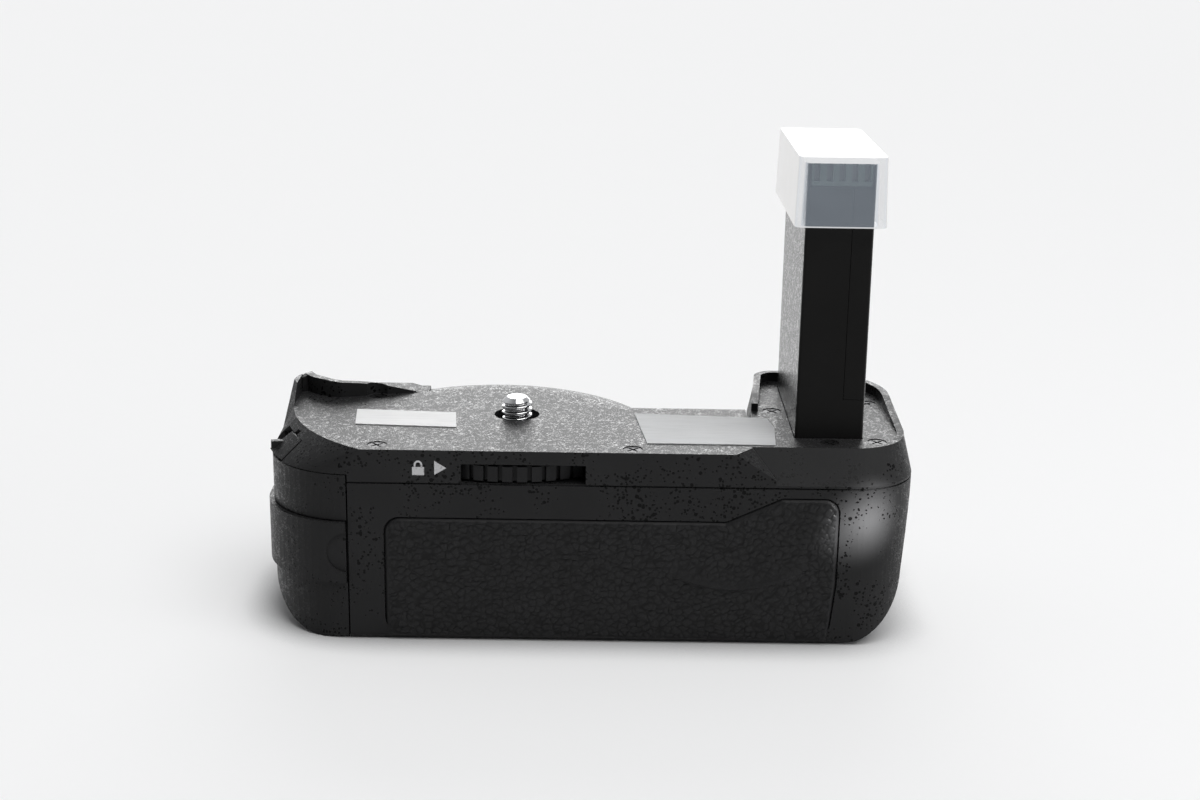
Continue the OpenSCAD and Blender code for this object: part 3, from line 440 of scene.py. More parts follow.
@dataclass(frozen=True)
class BoardLaminate(Finish):
    """Green circuit laminate with copper tracks under its lacquer."""

    track: Colour = (0.10, 0.30, 0.14)

    def paint(self, graph: Graph) -> None:
        """Builds the tracks from stepped cells and lacquers them."""
        walls = graph.step(graph.cells(2.4, "DISTANCE_TO_EDGE"), 0.09, 0.05)
        weave = graph.grain(0.4, 2.0)
        graph.set("Base Color", graph.blend(walls, self.colour, self.track))
        graph.set("Roughness", 0.32 + 0.1 * weave)
        graph.relief(0.7 * walls + 0.3 * weave, 0.02)


@dataclass(frozen=True)
class PrintInk(Finish):
    """Light ink, worn a little where fingers pass."""

    worn: Colour = (0.26, 0.26, 0.27)

    def paint(self, graph: Graph) -> None:
        """Builds the ink with its worn patches."""
        wear = graph.step(graph.grain(0.5, 3.0), 0.52, 0.72)
        graph.set("Base Color", graph.blend(wear, self.colour, self.worn))
        graph.set("Roughness", 0.5 + 0.2 * wear)
        graph.relief(wear, 0.004)


@dataclass(frozen=True)
class StudioPaper(Finish):
    """Pale paper of the studio floor, lit a little from below as on a light table, with a painted contact
    shadow where that light is taken away.
    """

    lit: float = 0.4
    # reach in millimetres of the painted contact shadow
    shade: float = 14.0

    def paint(self, graph: Graph) -> None:
        """Builds a faint tooth in the paper and its own light, which an ambient occlusion mask takes away
        near anything standing on it, painting a contact shadow.
        """
        tooth = graph.grain(1.2, 2.0)
        shade = tuple(0.985 * c for c in self.colour)
        graph.set("Base Color", graph.blend(tooth, self.colour, shade))
        graph.set("Roughness", 0.62 + 0.06 * tooth)
        graph.set("Specular IOR Level", 0.0)
        # painted shadow: the floor's own light fades out near the object
        near = graph.add(
            "ShaderNodeAmbientOcclusion", {"samples": 8}, {"Distance": self.shade * MM}, "AO"
        )
        outside_painted_shadow = graph.step(near, 0.45, 0.95)
        graph.set("Emission Color", graph.blend(outside_painted_shadow, (0.0, 0.0, 0.0), (1.0, 1.0, 1.0)))
        graph.set("Emission Strength", self.lit)


HOUSING = SpatterPlastic("housing_spatter", (0.020, 0.020, 0.0205))
COVER = SpatterPlastic("cover_spatter", (0.021, 0.021, 0.0215), ground=0.46)
PLUG = SpatterPlastic(
    "plug_spatter", (0.0105, 0.0104, 0.0103), specular=0.06, share=0.0, large_share=0.0,
    sheen=0.8, tips=0.9, coat_roughness=0.25, coat_ior=2.0,
)
TRAY = SatinPlastic("tray_satin", (0.012, 0.012, 0.0125), roughness=0.5)
CONTROL = SatinPlastic("control_satin", (0.010, 0.010, 0.0105), roughness=0.42, specular=0.15)
BUTTON = SatinPlastic("button_polished", (0.014, 0.014, 0.0145), roughness=0.14, specular=0.5)
INSULATOR = SatinPlastic("insulator_satin", (0.03, 0.045, 0.04), roughness=0.4)
RUBBER = GrainRubber("leather_rubber", (0.013, 0.013, 0.0135))
BRIGHT = PlatedMetal("bright_plating", (0.74, 0.74, 0.75), roughness=0.1)
STEEL = PlatedMetal("bare_steel", (0.52, 0.52, 0.53), roughness=0.3)
BRASS = PlatedMetal("contact_brass", (0.78, 0.58, 0.26), roughness=0.28)
NICKEL = PlatedMetal("dull_nickel", (0.085, 0.085, 0.087), roughness=0.42)
DARK_NICKEL = PlatedMetal("dark_nickel", (0.045, 0.045, 0.047), roughness=0.36)
FROSTED = FrostedPolymer("frosted_polymer", (0.09, 0.09, 0.092))
SILVER = FoilLabel("silver_film", (0.62, 0.62, 0.62))
GREY = FoilLabel("grey_film", (0.42, 0.425, 0.43))
LAMINATE = BoardLaminate("board_laminate", (0.02, 0.10, 0.045))
INK = PrintInk("print_ink", (0.52, 0.52, 0.53))
PAPER = StudioPaper("studio_paper", (0.49, 0.49, 0.493))


def smooth(value: float, low: float, high: float) -> float:
    """Smooth step from 0 at low to 1 at high.

    Args:
        value: Value to test.
        low: Value where the step starts.
        high: Value where the step ends.

    Returns:
        The step, from 0 to 1.
    """
    t = min(1.0, max(0.0, (value - low) / (high - low)))
    return t * t * (3 - 2 * t)


def make_piece(
    name: str,
    points: list[Vector],
    faces: list[tuple[int, ...]],
    finish: Finish,
    body: Body,
    slot: Slot,
    creases: list[float] | None = None,
) -> bpy.types.Object:
    """Makes a mesh piece in millimetres, dresses it and hands it to a body.

    Args:
        name: Name of the piece.
        points: Points in millimetres.
        faces: Point numbers of each face.
        finish: Finish of the whole piece.
        body: Body that the piece rides on.
        slot: Not used.
        creases: How deep each point lies in a crease, from 0 to 1.

    Returns:
        The new object.
    """
    mesh = bpy.data.meshes.new(name)
    mesh.from_pydata([p * MM for p in points], [], faces)
    if creases:
        mesh.attributes.new(CREASE, "FLOAT", "POINT").data.foreach_set("value", creases)
    shaped = bmesh.new()
    shaped.from_mesh(mesh)
    bmesh.ops.recalc_face_normals(shaped, faces=shaped.faces)
    for face in shaped.faces:
        face.smooth = True
    for edge in shaped.edges:
        edge.smooth = edge.calc_face_angle(0.0) < math.radians(SHARP_DEGREES)
    shaped.to_mesh(mesh)
    shaped.free()
    mesh.materials.append(finish.material())
    piece = bpy.data.objects.new(name, mesh)
    bpy.context.scene.collection.objects.link(piece)
    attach(piece, body.value)
    LOG.info("piece %s: %d points on %s", name, len(points), body.value)
    return piece


Loop = list[Vector]
Solid = tuple[list[Vector], list[tuple[int, ...]]]


def sweep(sections: list[Loop]) -> Solid:
    """Joins loops with equal counts of points into one closed solid.

    Args:
        sections: Loops in order along the solid.

    Returns:
        The points and faces, with both ends closed.
    """
    count = len(sections[0])
    last = (len(sections) - 1) * count
    points = [point for loop in sections for point in loop]
    faces: list[tuple[int, ...]] = [tuple(reversed(range(count))), tuple(last + k for k in range(count))]
    for first in range(0, last, count):
        for k in range(count):
            m = (k + 1) % count
            faces.append((first + k, first + m, first + count + m, first + count + k))
    return points, faces


def join(solids: list[Solid]) -> Solid:
    """Puts several solids into one list of points and faces."""
    points: list[Vector] = []
    faces: list[tuple[int, ...]] = []
    for more, sides in solids:
        faces += [tuple(len(points) + k for k in side) for side in sides]
        points += more
    return points, faces


def round_axis(centre: tuple[float, float], degrees: float, radius: float, z: float) -> Vector:
    """Point at an angle and radius about an upright axis."""
    turn = math.radians(degrees)
    return Vector((centre[0] + radius * math.cos(turn), centre[1] + radius * math.sin(turn), z))


@dataclass
class CameraScrew:
    """Bright screw with a real helical thread, on the axis of the wheel."""

    tail_r: float = 2.5
    tail_z: float = 32.2
    seat_z: float = 34.15
    seat_r: float = 3.175
    flange_r: float = 6.5
    flange_z: float = 37.25
    flange_top: float = 38.05
    neck_r: float = 2.6
    thread_z: float = 39.1
    top_z: float = 44.4
    pitch: float = 1.27
    major_r: float = 3.175
    depth: float = 0.62
    chamfer: float = 1.0
    chamfer_slope: float = 1.15
    run_in: float = 0.5
    lead: float = 0.3
    edge: float = 0.1
    fillet: float = 0.2
    around: int = 96
    fine: float = 0.06

    def radius(self, z: float, turn: float) -> float:
        """Radius of the thread at one height and angle.

        Args:
            z: Height.
            turn: Angle as a share of a full turn.

        Returns:
            The radius, with the run-in at the neck and the chamfer at the top.
        """
        phase = ((z - self.thread_z) / self.pitch - turn) % 1.0
        flank = abs(2 * phase - 1)
        crest = smooth(flank, 0.12, 0.86)
        started = smooth(z, self.thread_z, self.thread_z + self.run_in)
        r = self.neck_r + (self.major_r - self.depth + self.depth * crest - self.neck_r) * started
        return min(r, self.major_r - max(0.0, z - (self.top_z - self.chamfer)) * self.chamfer_slope)

    def rows(self) -> list[tuple[float, float | None]]:
        """Heights from tail to top, each with a plain radius or none on the thread."""
        plain: list[tuple[float, float | None]] = [
            (self.tail_z, self.tail_r - self.lead), (self.tail_z + self.lead, self.tail_r),
            (self.seat_z, self.tail_r), (self.seat_z, self.seat_r), (self.flange_z, self.seat_r),
            (self.flange_z, self.flange_r - self.edge), (self.flange_z + self.edge, self.flange_r),
            (self.flange_top - self.edge, self.flange_r), (self.flange_top, self.flange_r - self.edge),
            (self.flange_top, self.neck_r + self.fillet), (self.flange_top + self.fillet, self.neck_r)]
        steps = int((self.top_z - self.thread_z) / self.fine)
        span = self.top_z - self.thread_z
        return plain + [(self.thread_z + span * i / steps, None) for i in range(steps + 1)]

    def build(self) -> None:
        """Builds the screw and puts it in place of its solid."""
        points: list[Vector] = []
        faces: list[tuple[int, ...]] = []
        rows = self.rows()
        for z, plain in rows:
            for k in range(self.around):
                turn = k / self.around
                r = self.radius(z, turn) if plain is None else plain
                points.append(Vector((r * math.cos(math.tau * turn), r * math.sin(math.tau * turn), z)))
        for i in range(len(rows) - 1):
            for k in range(self.around):
                a, b = i * self.around + k, i * self.around + (k + 1) % self.around
                faces.append((a, b, b + self.around, a + self.around))
        last = (len(rows) - 1) * self.around
        faces.append(tuple(reversed(range(self.around))))
        faces.append(tuple(last + k for k in range(self.around)))
        screw = make_piece("camera_screw_thread", points, faces, BRIGHT, Body.WHEEL, Slot.SCREW)
        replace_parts(screw, "camera_screw")


@dataclass
class GrainedPad:
    """Rubber pad with a leather grain, on a surface given by two coordinates."""

    name: str
    node: str
    sink: float
    proud: float
    across: int
    up: int
    cell: float = 1.4
    grain: float = 0.2
    lip: float = 0.3
    seed: int = 7

    def leather(self, u: float, v: float) -> float:
        """Height of the leather grain at one place of the pad.

        Args:
            u: Way along the pad in millimetres.
            v: Way up the pad in millimetres.

        Returns:
            The height from 0 in a crease to 1 on a pebble.
        """
        seed = Vector((u * 0.31, v * 0.31, 2.7))
        warp = noise.noise_vector(seed) * 0.45 + noise.noise_vector(seed * 3.1) * 0.26
        at = Vector((u / self.cell * 0.9 + warp.x, v / self.cell * 1.1 + warp.y, 0.4))
        near = noise.voronoi(at)[0]
        fold = noise.voronoi(at * 1.9 + Vector((5.1, 2.2, 0.7)))[0]
        whole = 1.0 - smooth(noise.noise(Vector((u * 0.8, v * 0.8, 7.1))), -0.4, 0.2)
        pebble = max(smooth(near[1] - near[0], 0.0, 0.24), 0.45 * whole)
        wrinkle = smooth(fold[1] - fold[0], 0.0, 0.2)
        return pebble * (0.6 + 0.4 * wrinkle)

    def limits(self, u: float) -> tuple[float, float]:
        """Lower and upper edge of the pad at one share of its length."""
        raise NotImplementedError

    def surface(self, u: float, v: float) -> tuple[Vector, Vector]:
        """Point on the carrying surface and its outward direction."""
        raise NotImplementedError

    def border(self, u: float, v: float) -> float:
        """Distance in millimetres to the pad's nearest edge."""
        raise NotImplementedError

    def extra(self, at: Vector) -> float:
        """Further height of the pad at a point, such as a thumb ridge."""
        return 0.0

    def length(self) -> float:
        """Length of the pad along its surface."""
        raise NotImplementedError

    def build(self) -> None:
        """Builds the pad and replaces the solid."""
        front, back, creases = self.face_points()
        rim = self.rim()
        points = front + [back[k] for k in rim]
        creases += [0.0] * len(rim)
        faces = self.faces(rim, len(front))
        name = f"{self.name}_grain"
        pad = make_piece(name, points, faces, RUBBER, Body.HOUSING, Slot.RUBBER, creases)
        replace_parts(pad, self.node)

    def face_points(self) -> tuple[list[Vector], list[Vector], list[float]]:
        """Points of the grained face, the points behind them and the depth of the creases."""
        noise.seed_set(self.seed)
        front: list[Vector] = []
        back: list[Vector] = []
        creases: list[float] = []
        for i in range(self.across + 1):
            u = i / self.across
            low, high = self.limits(u)
            for j in range(self.up + 1):
                v = low + (high - low) * j / self.up
                base, out = self.surface(u, v)
                edge = self.border(u, v)
                roll = smooth(edge, -0.15, 0.75)
                inner = smooth(edge, 0.3, 0.8)
                lift = self.extra(base)
                height = (self.proud + self.lip) * roll - self.lip + lift
                crease = 1.0 - self.leather(u * self.length(), v)
                hollow = crease * inner * max(0.0, 1.0 - 1.5 * lift)
                height -= self.grain * hollow
                # the crease depth also drives the painted shade in the rubber's colour
                creases.append(hollow)
                front.append(base + out * height)
                back.append(base - out * self.sink)
        return front, back, creases

    def rim(self) -> list[int]:
        """Numbers of the face's outer points, once round from the lower start."""
        rows = self.up + 1
        rim = [i * rows for i in range(self.across + 1)]
        rim += [self.across * rows + j for j in range(1, rows)]
        rim += [i * rows + self.up for i in range(self.across - 1, -1, -1)]
        rim += [j for j in range(self.up - 1, 0, -1)]
        return rim

    def faces(self, rim: list[int], first: int) -> list[tuple[int, ...]]:
        """Faces of the grained side, the edge and the back.

        Args:
            rim: Numbers of the face's outer points.
            first: Number of the first point behind the rim.

        Returns:
            The point numbers of each face.
        """
        rows = self.up + 1
        faces: list[tuple[int, ...]] = []
        for i in range(self.across):
            for j in range(self.up):
                a = i * rows + j
                faces.append((a, a + rows, a + rows + 1, a + 1))
        count = len(rim)
        for k in range(count):
            n = (k + 1) % count
            faces.append((rim[k], rim[n], first + n, first + k))
        bottom = list(range(self.across + 1))
        top = list(range(self.across + self.up, 2 * self.across + self.up + 1))[::-1]
        for i in range(self.across):
            quad = [bottom[i], bottom[i + 1], top[i + 1], top[i]]
            if i == 0:
                quad += [count - k for k in range(1, self.up)]
            if i == self.across - 1:
                quad[2:2] = [self.across + k for k in range(1, self.up)]
            faces.append(tuple(first + k for k in quad))
        return faces


@dataclass
class RearPad(GrainedPad):
    """Pad on the rear face, with a stepped top edge and a thumb ridge."""

    left: float = -25.2
    right: float = 65.4
    low: float = 0.6
    top: float = 26.1
    high: float = 31.2
    slope_start: float = 43.0
    slope_end: float = 54.0
    corner: float = 3.0
    rear_y: float = -25.5
    ridge_x: float = 44.5
    ridge_z: float = 38.3
    ridge_r: float = 26.0
    ridge_h: float = 0.6
    ridge_half: float = 16.0

    def length(self) -> float:
        """Length of the pad along the rear face."""
        return self.right - self.left

    def limits(self, u: float) -> tuple[float, float]:
        """Lower and upper edge, with round corners at both upper ends."""
        x = self.left + u * self.length()
        rise = min(1.0, max(0.0, (x - self.slope_start) / (self.slope_end - self.slope_start)))
        end = min(x - self.left, self.right - x)
        inward = max(0.0, self.corner - end)
        cut = self.corner - math.sqrt(max(0.0, self.corner**2 - inward**2))
        return self.low, self.top + (self.high - self.top) * rise - cut

    def surface(self, u: float, v: float) -> tuple[Vector, Vector]:
        """Point on the rear face, drawn in at the lower right as the pad narrows."""
        x = self.left + u * self.length()
        x -= 1.2 * u**6 * max(0.0, 1 - v / 13.0)
        return Vector((x, self.rear_y, v)), Vector((0, -1, 0))

    def border(self, u: float, v: float) -> float:
        """Distance to the nearest edge of the outline."""
        x = self.left + u * self.length()
        low, high = self.limits(u)
        return min(x - self.left, self.right - x, v - low, high - v)

    def extra(self, at: Vector) -> float:
        """Lip of the thumb rest: a crisp lower side that fades upwards."""
        inside = self.ridge_r - math.hypot(at.x - self.ridge_x, at.z - self.ridge_z)
        ends = 1 - smooth(abs(at.x - self.ridge_x), 0.55 * self.ridge_half, self.ridge_half)
        shape = math.exp(-inside / 1.5) if inside > 0 else math.exp(-((inside / 0.45) ** 2))
        return self.ridge_h * shape * ends if inside > -3 else 0.0


@dataclass
class LobePad(GrainedPad):
    """Pad that wraps the lens side of the hand lobe."""

    low: float = 6.7
    high: float = 29.6
    corner: float = 2.0

    def __post_init__(self) -> None:
        """Works out the path of the pad round the lobe."""
        path: list[tuple[Vector, Vector]] = []
        for a in range(673, 900, 6):
            path.append(self._arc(63.4, 13.0, 18.0, a / 10))
        path += [self._line(Vector((63.4, 31, 0)), Vector((56.6, 31, 0)), k / 12) for k in range(13)]
        path += [self._arc(56.6, 25.0, 6.0, a) for a in range(92, 181, 4)]
        path += [self._line(Vector((50.6, 25, 0)), Vector((49.15, 20.65, 0)), k / 8) for k in range(1, 9)]
        self.path = path
        self.ways = [0.0]
        for (p, _), (q, _) in zip(path, path[1:]):
            self.ways.append(self.ways[-1] + (q - p).length)

    @staticmethod
    def _arc(x: float, y: float, r: float, degrees: float) -> tuple[Vector, Vector]:
        """Point and outward direction on an arc of the plan."""
        out = Vector((math.cos(math.radians(degrees)), math.sin(math.radians(degrees)), 0))
        return Vector((x, y, 0)) + out * r, out

    @staticmethod
    def _line(start: Vector, end: Vector, share: float) -> tuple[Vector, Vector]:
        """Point and outward direction on a straight part of the plan."""
        way = (end - start).normalized()
        return start.lerp(end, share), Vector((way.y, -way.x, 0))

    def length(self) -> float:
        """Length of the path."""
        return self.ways[-1]

    def limits(self, u: float) -> tuple[float, float]:
        """Lower and upper edge, with round corners at both ends."""
        end = min(u, 1 - u) * self.length()
        inward = max(0.0, self.corner - end)
        cut = self.corner - math.sqrt(max(0.0, self.corner**2 - inward**2))
        return self.low + cut, self.high - cut

    def surface(self, u: float, v: float) -> tuple[Vector, Vector]:
        """Point on the lobe at one share of the path."""
        way = u * self.length()
        k = max(i for i in range(len(self.ways) - 1) if self.ways[i] <= way)
        share = (way - self.ways[k]) / max(1e-9, self.ways[k + 1] - self.ways[k])
        point = self.path[k][0].lerp(self.path[k + 1][0], share)
        out = self.path[k][1].lerp(self.path[k + 1][1], share).normalized()
        return Vector((point.x, point.y, v)), out

    def border(self, u: float, v: float) -> float:
        """Distance to the nearest edge of the outline."""
        low, high = self.limits(u)
        return min(min(u, 1 - u) * self.length(), v - low, high - v)


@dataclass
class LockMark:
    """Plain padlock and arrow printed beside the wheel slot."""

    face_y: float = -25.5
    thick: float = 0.03
    lock_x: float = -18.4
    low_z: float = 35.3
    arrow_x: float = -15.2
    arrow_w: float = 2.4

    def loops(self) -> list[list[tuple[float, float]]]:
        """Outlines of the mark's parts on the rear face."""
        x, z = self.lock_x, self.low_z
        body = [(x - 1.2, z), (x + 1.2, z), (x + 1.2, z + 1.7), (x - 1.2, z + 1.7)]
        angles = [math.radians(180 * k / 14) for k in range(15)]
        top = z + 2.1
        shackle = [(x + 0.85, z + 1.75)]
        shackle += [(x + 0.85 * math.cos(a), top + 0.95 * math.sin(a)) for a in angles]
        shackle += [(x - 0.85, z + 1.75), (x - 0.5, z + 1.75)]
        shackle += [(x + 0.5 * math.cos(a), top + 0.58 * math.sin(a)) for a in reversed(angles)]
        shackle += [(x + 0.5, z + 1.75)]
        mid = z + 1.55
        arrow = [(self.arrow_x, mid - 1.45), (self.arrow_x + self.arrow_w, mid), (self.arrow_x, mid + 1.45)]
        return [body, shackle, arrow]

    def build(self) -> None:
        """Builds the thin ink as closed plates on the cover's face."""
        depths = (self.face_y - self.thick, self.face_y + self.thick)
        plates = [sweep([[Vector((x, y, z)) for x, z in loop] for y in depths]) for loop in self.loops()]
        make_piece("lock_mark", *join(plates), INK, Body.HOUSING, Slot.SILVER)


@dataclass
class PlateLabel:
    """Bare film label on the camera plate."""

    name: str
    node: str
    finish: Finish
    slot: Slot
    centre: tuple[float, float]
    outline: list[tuple[float, float]]
    turn: float = 0.0
    plate_z: float = 40.5
    thick: float = 0.16

    def build(self) -> None:
        """Builds the film and puts it in place of its solid."""
        place = Matrix.Translation((*self.centre, 0)) @ Matrix.Rotation(math.radians(self.turn), 4, "Z")
        heights = (self.plate_z, self.plate_z + self.thick)
        film = sweep([[place @ Vector((x, y, z)) for x, y in self.outline] for z in heights])
        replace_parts(make_piece(self.name, *film, self.finish, Body.HOUSING, self.slot), self.node)


@dataclass
class TrayLock:
    """Sliding lock that follows the leaning corner of the cover, with a nub for the nail."""

    centre: tuple[float, float] = (-32.1, -7.5)
    start: float = 187.5
    end: float = 213.5
    low: float = 35.35
    top: float = 38.85
    back_r: float = 13.2
    foot_r: float = 17.73
    lean: float = 1.28
    nub: tuple[float, float] = (188.0, 192.5)
    nub_z: tuple[float, float] = (35.9, 37.3)
    nub_r: float = 18.3
    steps: int = 16

    def face_r(self, degrees: float, z: float) -> float:
        """Radius of the lock's outer face, flush with the leaning cover."""
        flare = 0.97 * (max(0.0, 210.0 - degrees) / 25) ** 2
        return self.foot_r - self.lean * (z - self.low) + flare

    def build(self) -> None:
        """Builds the wedge and its nub and puts them in place of the solid."""
        angles = [self.start + (self.end - self.start) * k / self.steps for k in range(self.steps + 1)]
        wedge = sweep([[
            round_axis(self.centre, a, self.back_r, self.low),
            round_axis(self.centre, a, self.face_r(a, self.low), self.low),
            round_axis(self.centre, a, self.face_r(a, self.top), self.top),
            round_axis(self.centre, a, self.back_r, self.top),
        ] for a in angles])
        root, (low, top) = self.back_r + 1, self.nub_z
        corners = [(root, low), (self.nub_r, low), (self.nub_r, top), (root, top)]
        nub = sweep([[round_axis(self.centre, a, r, z) for r, z in corners] for a in self.nub])
        solid = join([wedge, nub])
        slide = make_piece("tray_lock_slide", *solid, HOUSING, Body.LOCK, Slot.CONTROL)
        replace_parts(slide, "tray_lock")


@dataclass
class RimCorner:
    """Corner of the raised rim between the left edge and the lens side wall."""

    centre: tuple[float, float] = (-40.1, 11.5)
    start: float = 138.0
    end: float = 158.0
    low: float = 40.3
    top: float = 44.15
    foot_r: float = 9.13
    lean: float = 0.158
    near_r: float = 6.9
    far_r: float = 7.75
    slope_y: float = 2.0
    slope: float = 0.249
    steps: int = 8

    def build(self) -> None:
        """Builds the short curved wall that closes the rim."""
        sections = []
        for k in range(self.steps + 1):
            share = k / self.steps
            a = self.start + (self.end - self.start) * share
            back = self.near_r + (self.far_r - self.near_r) * share
            foot = round_axis(self.centre, a, self.foot_r, self.low)
            top = min(self.top, self.low + 0.2 + self.slope * (foot.y - self.slope_y))
            head = round_axis(self.centre, a, self.foot_r - self.lean * (top - self.low), top)
            inside = [round_axis(self.centre, a, back, z) for z in (self.low, top)]
            sections.append([inside[0], foot, head, inside[1]])
        make_piece("rim_corner", *sweep(sections), COVER, Body.HOUSING, Slot.COVER)


@dataclass
class Dressing:
    """Finish and edge rounding of one CAD node."""

    finish: Finish
    edge: float = 0.0
    angle: float = 32.0

    def apply(self, node: bpy.types.Object) -> None:
        """Dresses a node that keeps its own mesh.

        Args:
            node: Object of the CAD node.
        """
        for slot in node.material_slots:
            slot.material = self.finish.material()
        if self.edge > 0:
            bevel = node.modifiers.new("edge", "BEVEL")
            bevel.width = self.edge * MM
            bevel.segments = 3
            bevel.limit_method = "ANGLE"
            bevel.angle_limit = math.radians(self.angle)
            bevel.harden_normals = True
            bevel.use_clamp_overlap = True
        LOG.info("node %s: %s", node.name, self.finish.name)


DRESSINGS: dict[str, Dressing] = {
    "main_housing": Dressing(HOUSING, 0.3), "tray_deck": Dressing(TRAY, 0.2),
    "top_cover": Dressing(COVER, 0.15),
    "tray_end_cap": Dressing(HOUSING, 0.3), "pull_flap": Dressing(HOUSING, 0.3),
    "plug_shell": Dressing(PLUG, 0.25), "plug_side_cover": Dressing(PLUG, 0.2),
    "plug_contact_block": Dressing(INSULATOR, 0.1), "plug_contacts": Dressing(DARK_NICKEL, 0.05),
    "cover_screws": Dressing(NICKEL, 0.08), "wheel_bush": Dressing(BRASS, 0.1),
    "lock_wheel": Dressing(CONTROL, 0.28), "protective_cap": Dressing(FROSTED, 0.5),
    "tray_frame": Dressing(TRAY, 0.2), "tray_screws": Dressing(STEEL, 0.1),
    "tray_contacts": Dressing(BRASS, 0.08), "flap_pin": Dressing(STEEL, 0.1),
    "shutter_button": Dressing(BUTTON, 0.3),
    "shutter_lock_ring": Dressing(CONTROL, 0.25), "release_switch": Dressing(INSULATOR, 0.15),
    "release_board": Dressing(LAMINATE, 0.1), "release_screws": Dressing(STEEL, 0.1),
    "terminal_block": Dressing(INSULATOR, 0.2), "terminal_springs": Dressing(BRASS, 0.05),
    "control_board": Dressing(LAMINATE, 0.1), "control_chip": Dressing(INSULATOR, 0.1),
    "board_screws": Dressing(STEEL, 0.1), "tripod_socket": Dressing(STEEL, 0.2)}


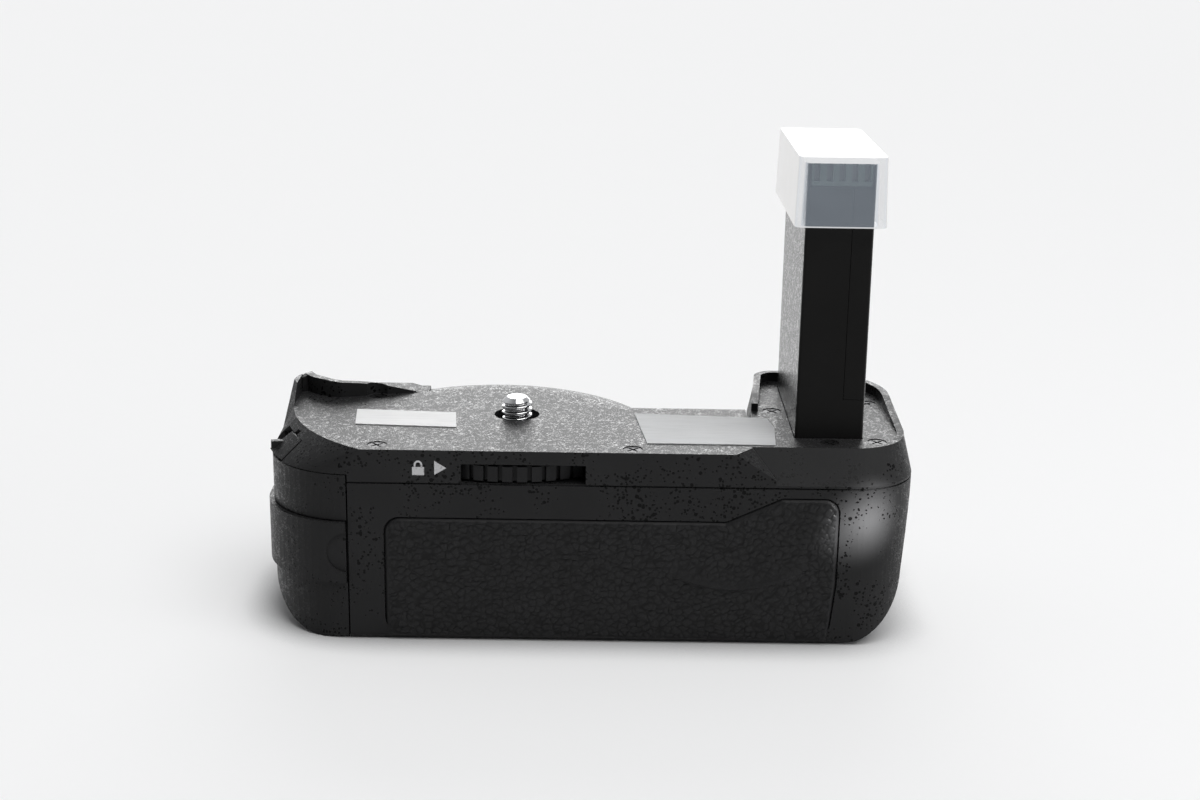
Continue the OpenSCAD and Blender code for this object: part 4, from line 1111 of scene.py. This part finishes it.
@dataclass
class Studio:
    """Pale floor, soft lights and the camera."""

    eye: tuple[float, float, float] = (16.402, -362.154, 150.8)
    pitch: float = 16.455
    yaw: float = 0.168
    roll: float = 0.893
    lens: float = 53.84
    sensor: float = 36.0
    reach: float = 9000.0
    sky: Colour = (0.55, 0.557, 0.565)
    dim: Colour = (0.12, 0.121, 0.122)

    def camera(self) -> None:
        """Places the camera at the photograph's viewing angle."""
        data = bpy.data.cameras.new("camera")
        data.sensor_fit = "HORIZONTAL"
        data.sensor_width = self.sensor
        data.lens = self.lens
        data.clip_start = 0.01
        data.clip_end = 50.0
        p, w, r = (math.radians(a) for a in (self.pitch, self.yaw, self.roll))
        ahead = Vector((math.cos(p) * math.sin(w), math.cos(p) * math.cos(w), -math.sin(p)))
        right = Vector((math.cos(w), -math.sin(w), 0))
        up = right.cross(ahead)
        side = math.cos(r) * right + math.sin(r) * up
        head = math.cos(r) * up - math.sin(r) * right
        turn = Matrix((side, head, -ahead)).transposed().to_4x4()
        turn.translation = Vector(self.eye) * MM
        camera = bpy.data.objects.new("camera", data)
        camera.matrix_world = turn
        bpy.context.scene.collection.objects.link(camera)
        bpy.context.scene.camera = camera

    def floor(self) -> None:
        """Builds the plain pale floor."""
        corners = [(-1, -1), (1, -1), (1, 1), (-1, 1)]
        mesh = bpy.data.meshes.new("studio_floor")
        mesh.from_pydata([Vector((x, y, 0)) * self.reach * MM for x, y in corners], [], [(0, 1, 2, 3)])
        mesh.materials.append(PAPER.material())
        floor = bpy.data.objects.new("studio_floor", mesh)
        bpy.context.scene.collection.objects.link(floor)

    @staticmethod
    def glow(name: str, source: Colour, spread: float, strength: float) -> None:
        """Adds a broad even light from far away.

        Args:
            name: Name of the light.
            source: Direction that the light comes from.
            spread: Width of the light in degrees.
            strength: Strength in watts on each square metre.
        """
        data = bpy.data.lights.new(name, "SUN")
        data.energy = strength
        data.angle = math.radians(spread)
        Studio.hang(data, source, (0.0, 0.0, 0.0))

    @staticmethod
    def hang(data: bpy.types.Light, at: Colour, aim: Colour) -> None:
        """Hangs a lamp at a place in millimetres, turned to a point."""
        light = bpy.data.objects.new(data.name, data)
        light.location = Vector(at) * MM
        light.rotation_euler = (Vector(aim) - Vector(at)).to_track_quat("-Z", "Y").to_euler()
        bpy.context.scene.collection.objects.link(light)

    @staticmethod
    def softbox(name: str, at: Colour, aim: Colour, size: tuple[float, float], power: float) -> None:
        """Adds one soft area light.

        Args:
            name: Name of the light.
            at: Place in millimetres.
            aim: Point that the light faces.
            size: Width and height in millimetres.
            power: Power in watts.
        """
        data = bpy.data.lights.new(name, "AREA")
        data.shape = "RECTANGLE"
        data.size = size[0] * MM
        data.size_y = size[1] * MM
        data.energy = power
        Studio.hang(data, at, aim)

    @staticmethod
    def accent(name: str, at: Colour, aim: Colour, cone: float, power: float) -> None:
        """Adds one narrow light with a soft edge.

        Args:
            name: Name of the light.
            at: Place in millimetres.
            aim: Point that the light faces.
            cone: Width of the light in degrees.
            power: Power in watts.
        """
        data = bpy.data.lights.new(name, "SPOT")
        data.spot_size = math.radians(cone)
        data.spot_blend = 1.0
        data.shadow_soft_size = 4 * MM
        data.energy = power
        Studio.hang(data, at, aim)

    def light(self) -> None:
        """Sets the surround, dim behind the camera, the two glows, the softbox and the patch."""
        world = bpy.data.worlds.new("studio_surround")
        graph = Graph(world, "Background")
        way = graph.add("ShaderNodeTexCoord", out="Generated")
        ahead = graph.add("ShaderNodeSeparateXYZ", None, {0: way}, "Y")
        graph.set("Color", graph.blend(graph.step(ahead, -0.5, 0.5), self.dim, self.sky))
        bpy.context.scene.world = world
        self.glow("back_glow", (0.0, 0.96, 0.28), 44.0, 1.6)
        self.glow("top_glow", (0.35, -0.30, 0.89), 50.0, 1.9)
        self.softbox("right_box", (520, -150, 150), (73, -20, 25), (200, 120), 0.5)
        self.accent("window_patch", (300, -300, 200), (69.2, -23, 25.5), 1.8, 95.0)

    def build(self) -> None:
        """Builds the whole studio."""
        bpy.context.scene.view_settings.view_transform = "Standard"
        self.camera()
        self.floor()
        self.light()


def main() -> None:
    """Loads the frame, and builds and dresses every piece."""
    logging.basicConfig(level=logging.INFO, format="%(name)s: %(message)s")
    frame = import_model()
    Studio().build()
    for name, dressing in DRESSINGS.items():
        dressing.apply(frame["nodes"][name])
    CameraScrew().build()
    RearPad("rear_pad", "rear_grip_pad", 0.9, 0.3, 420, 132).build()
    LobePad("lobe_pad", "lobe_grip_pad", 0.7, 0.3, 130, 96).build()
    LockMark().build()
    PlateLabel("small_film", "small_label", SILVER, Slot.SILVER, (-22.9, -4.4),
               [(-11.3, 5.15), (-9.7, -5.15), (11.3, -5.15), (9.7, 5.15)], -3.6).build()
    PlateLabel("large_film", "large_label", GREY, Slot.GREY, (39.0, -9.0),
               [(-14.2, 10.3), (-12.0, -10.3), (13.8, -10.3), (14.6, 1.5), (13.6, 8.1)]).build()
    TrayLock().build()
    RimCorner().build()


if __name__ == "__main__":
    main()
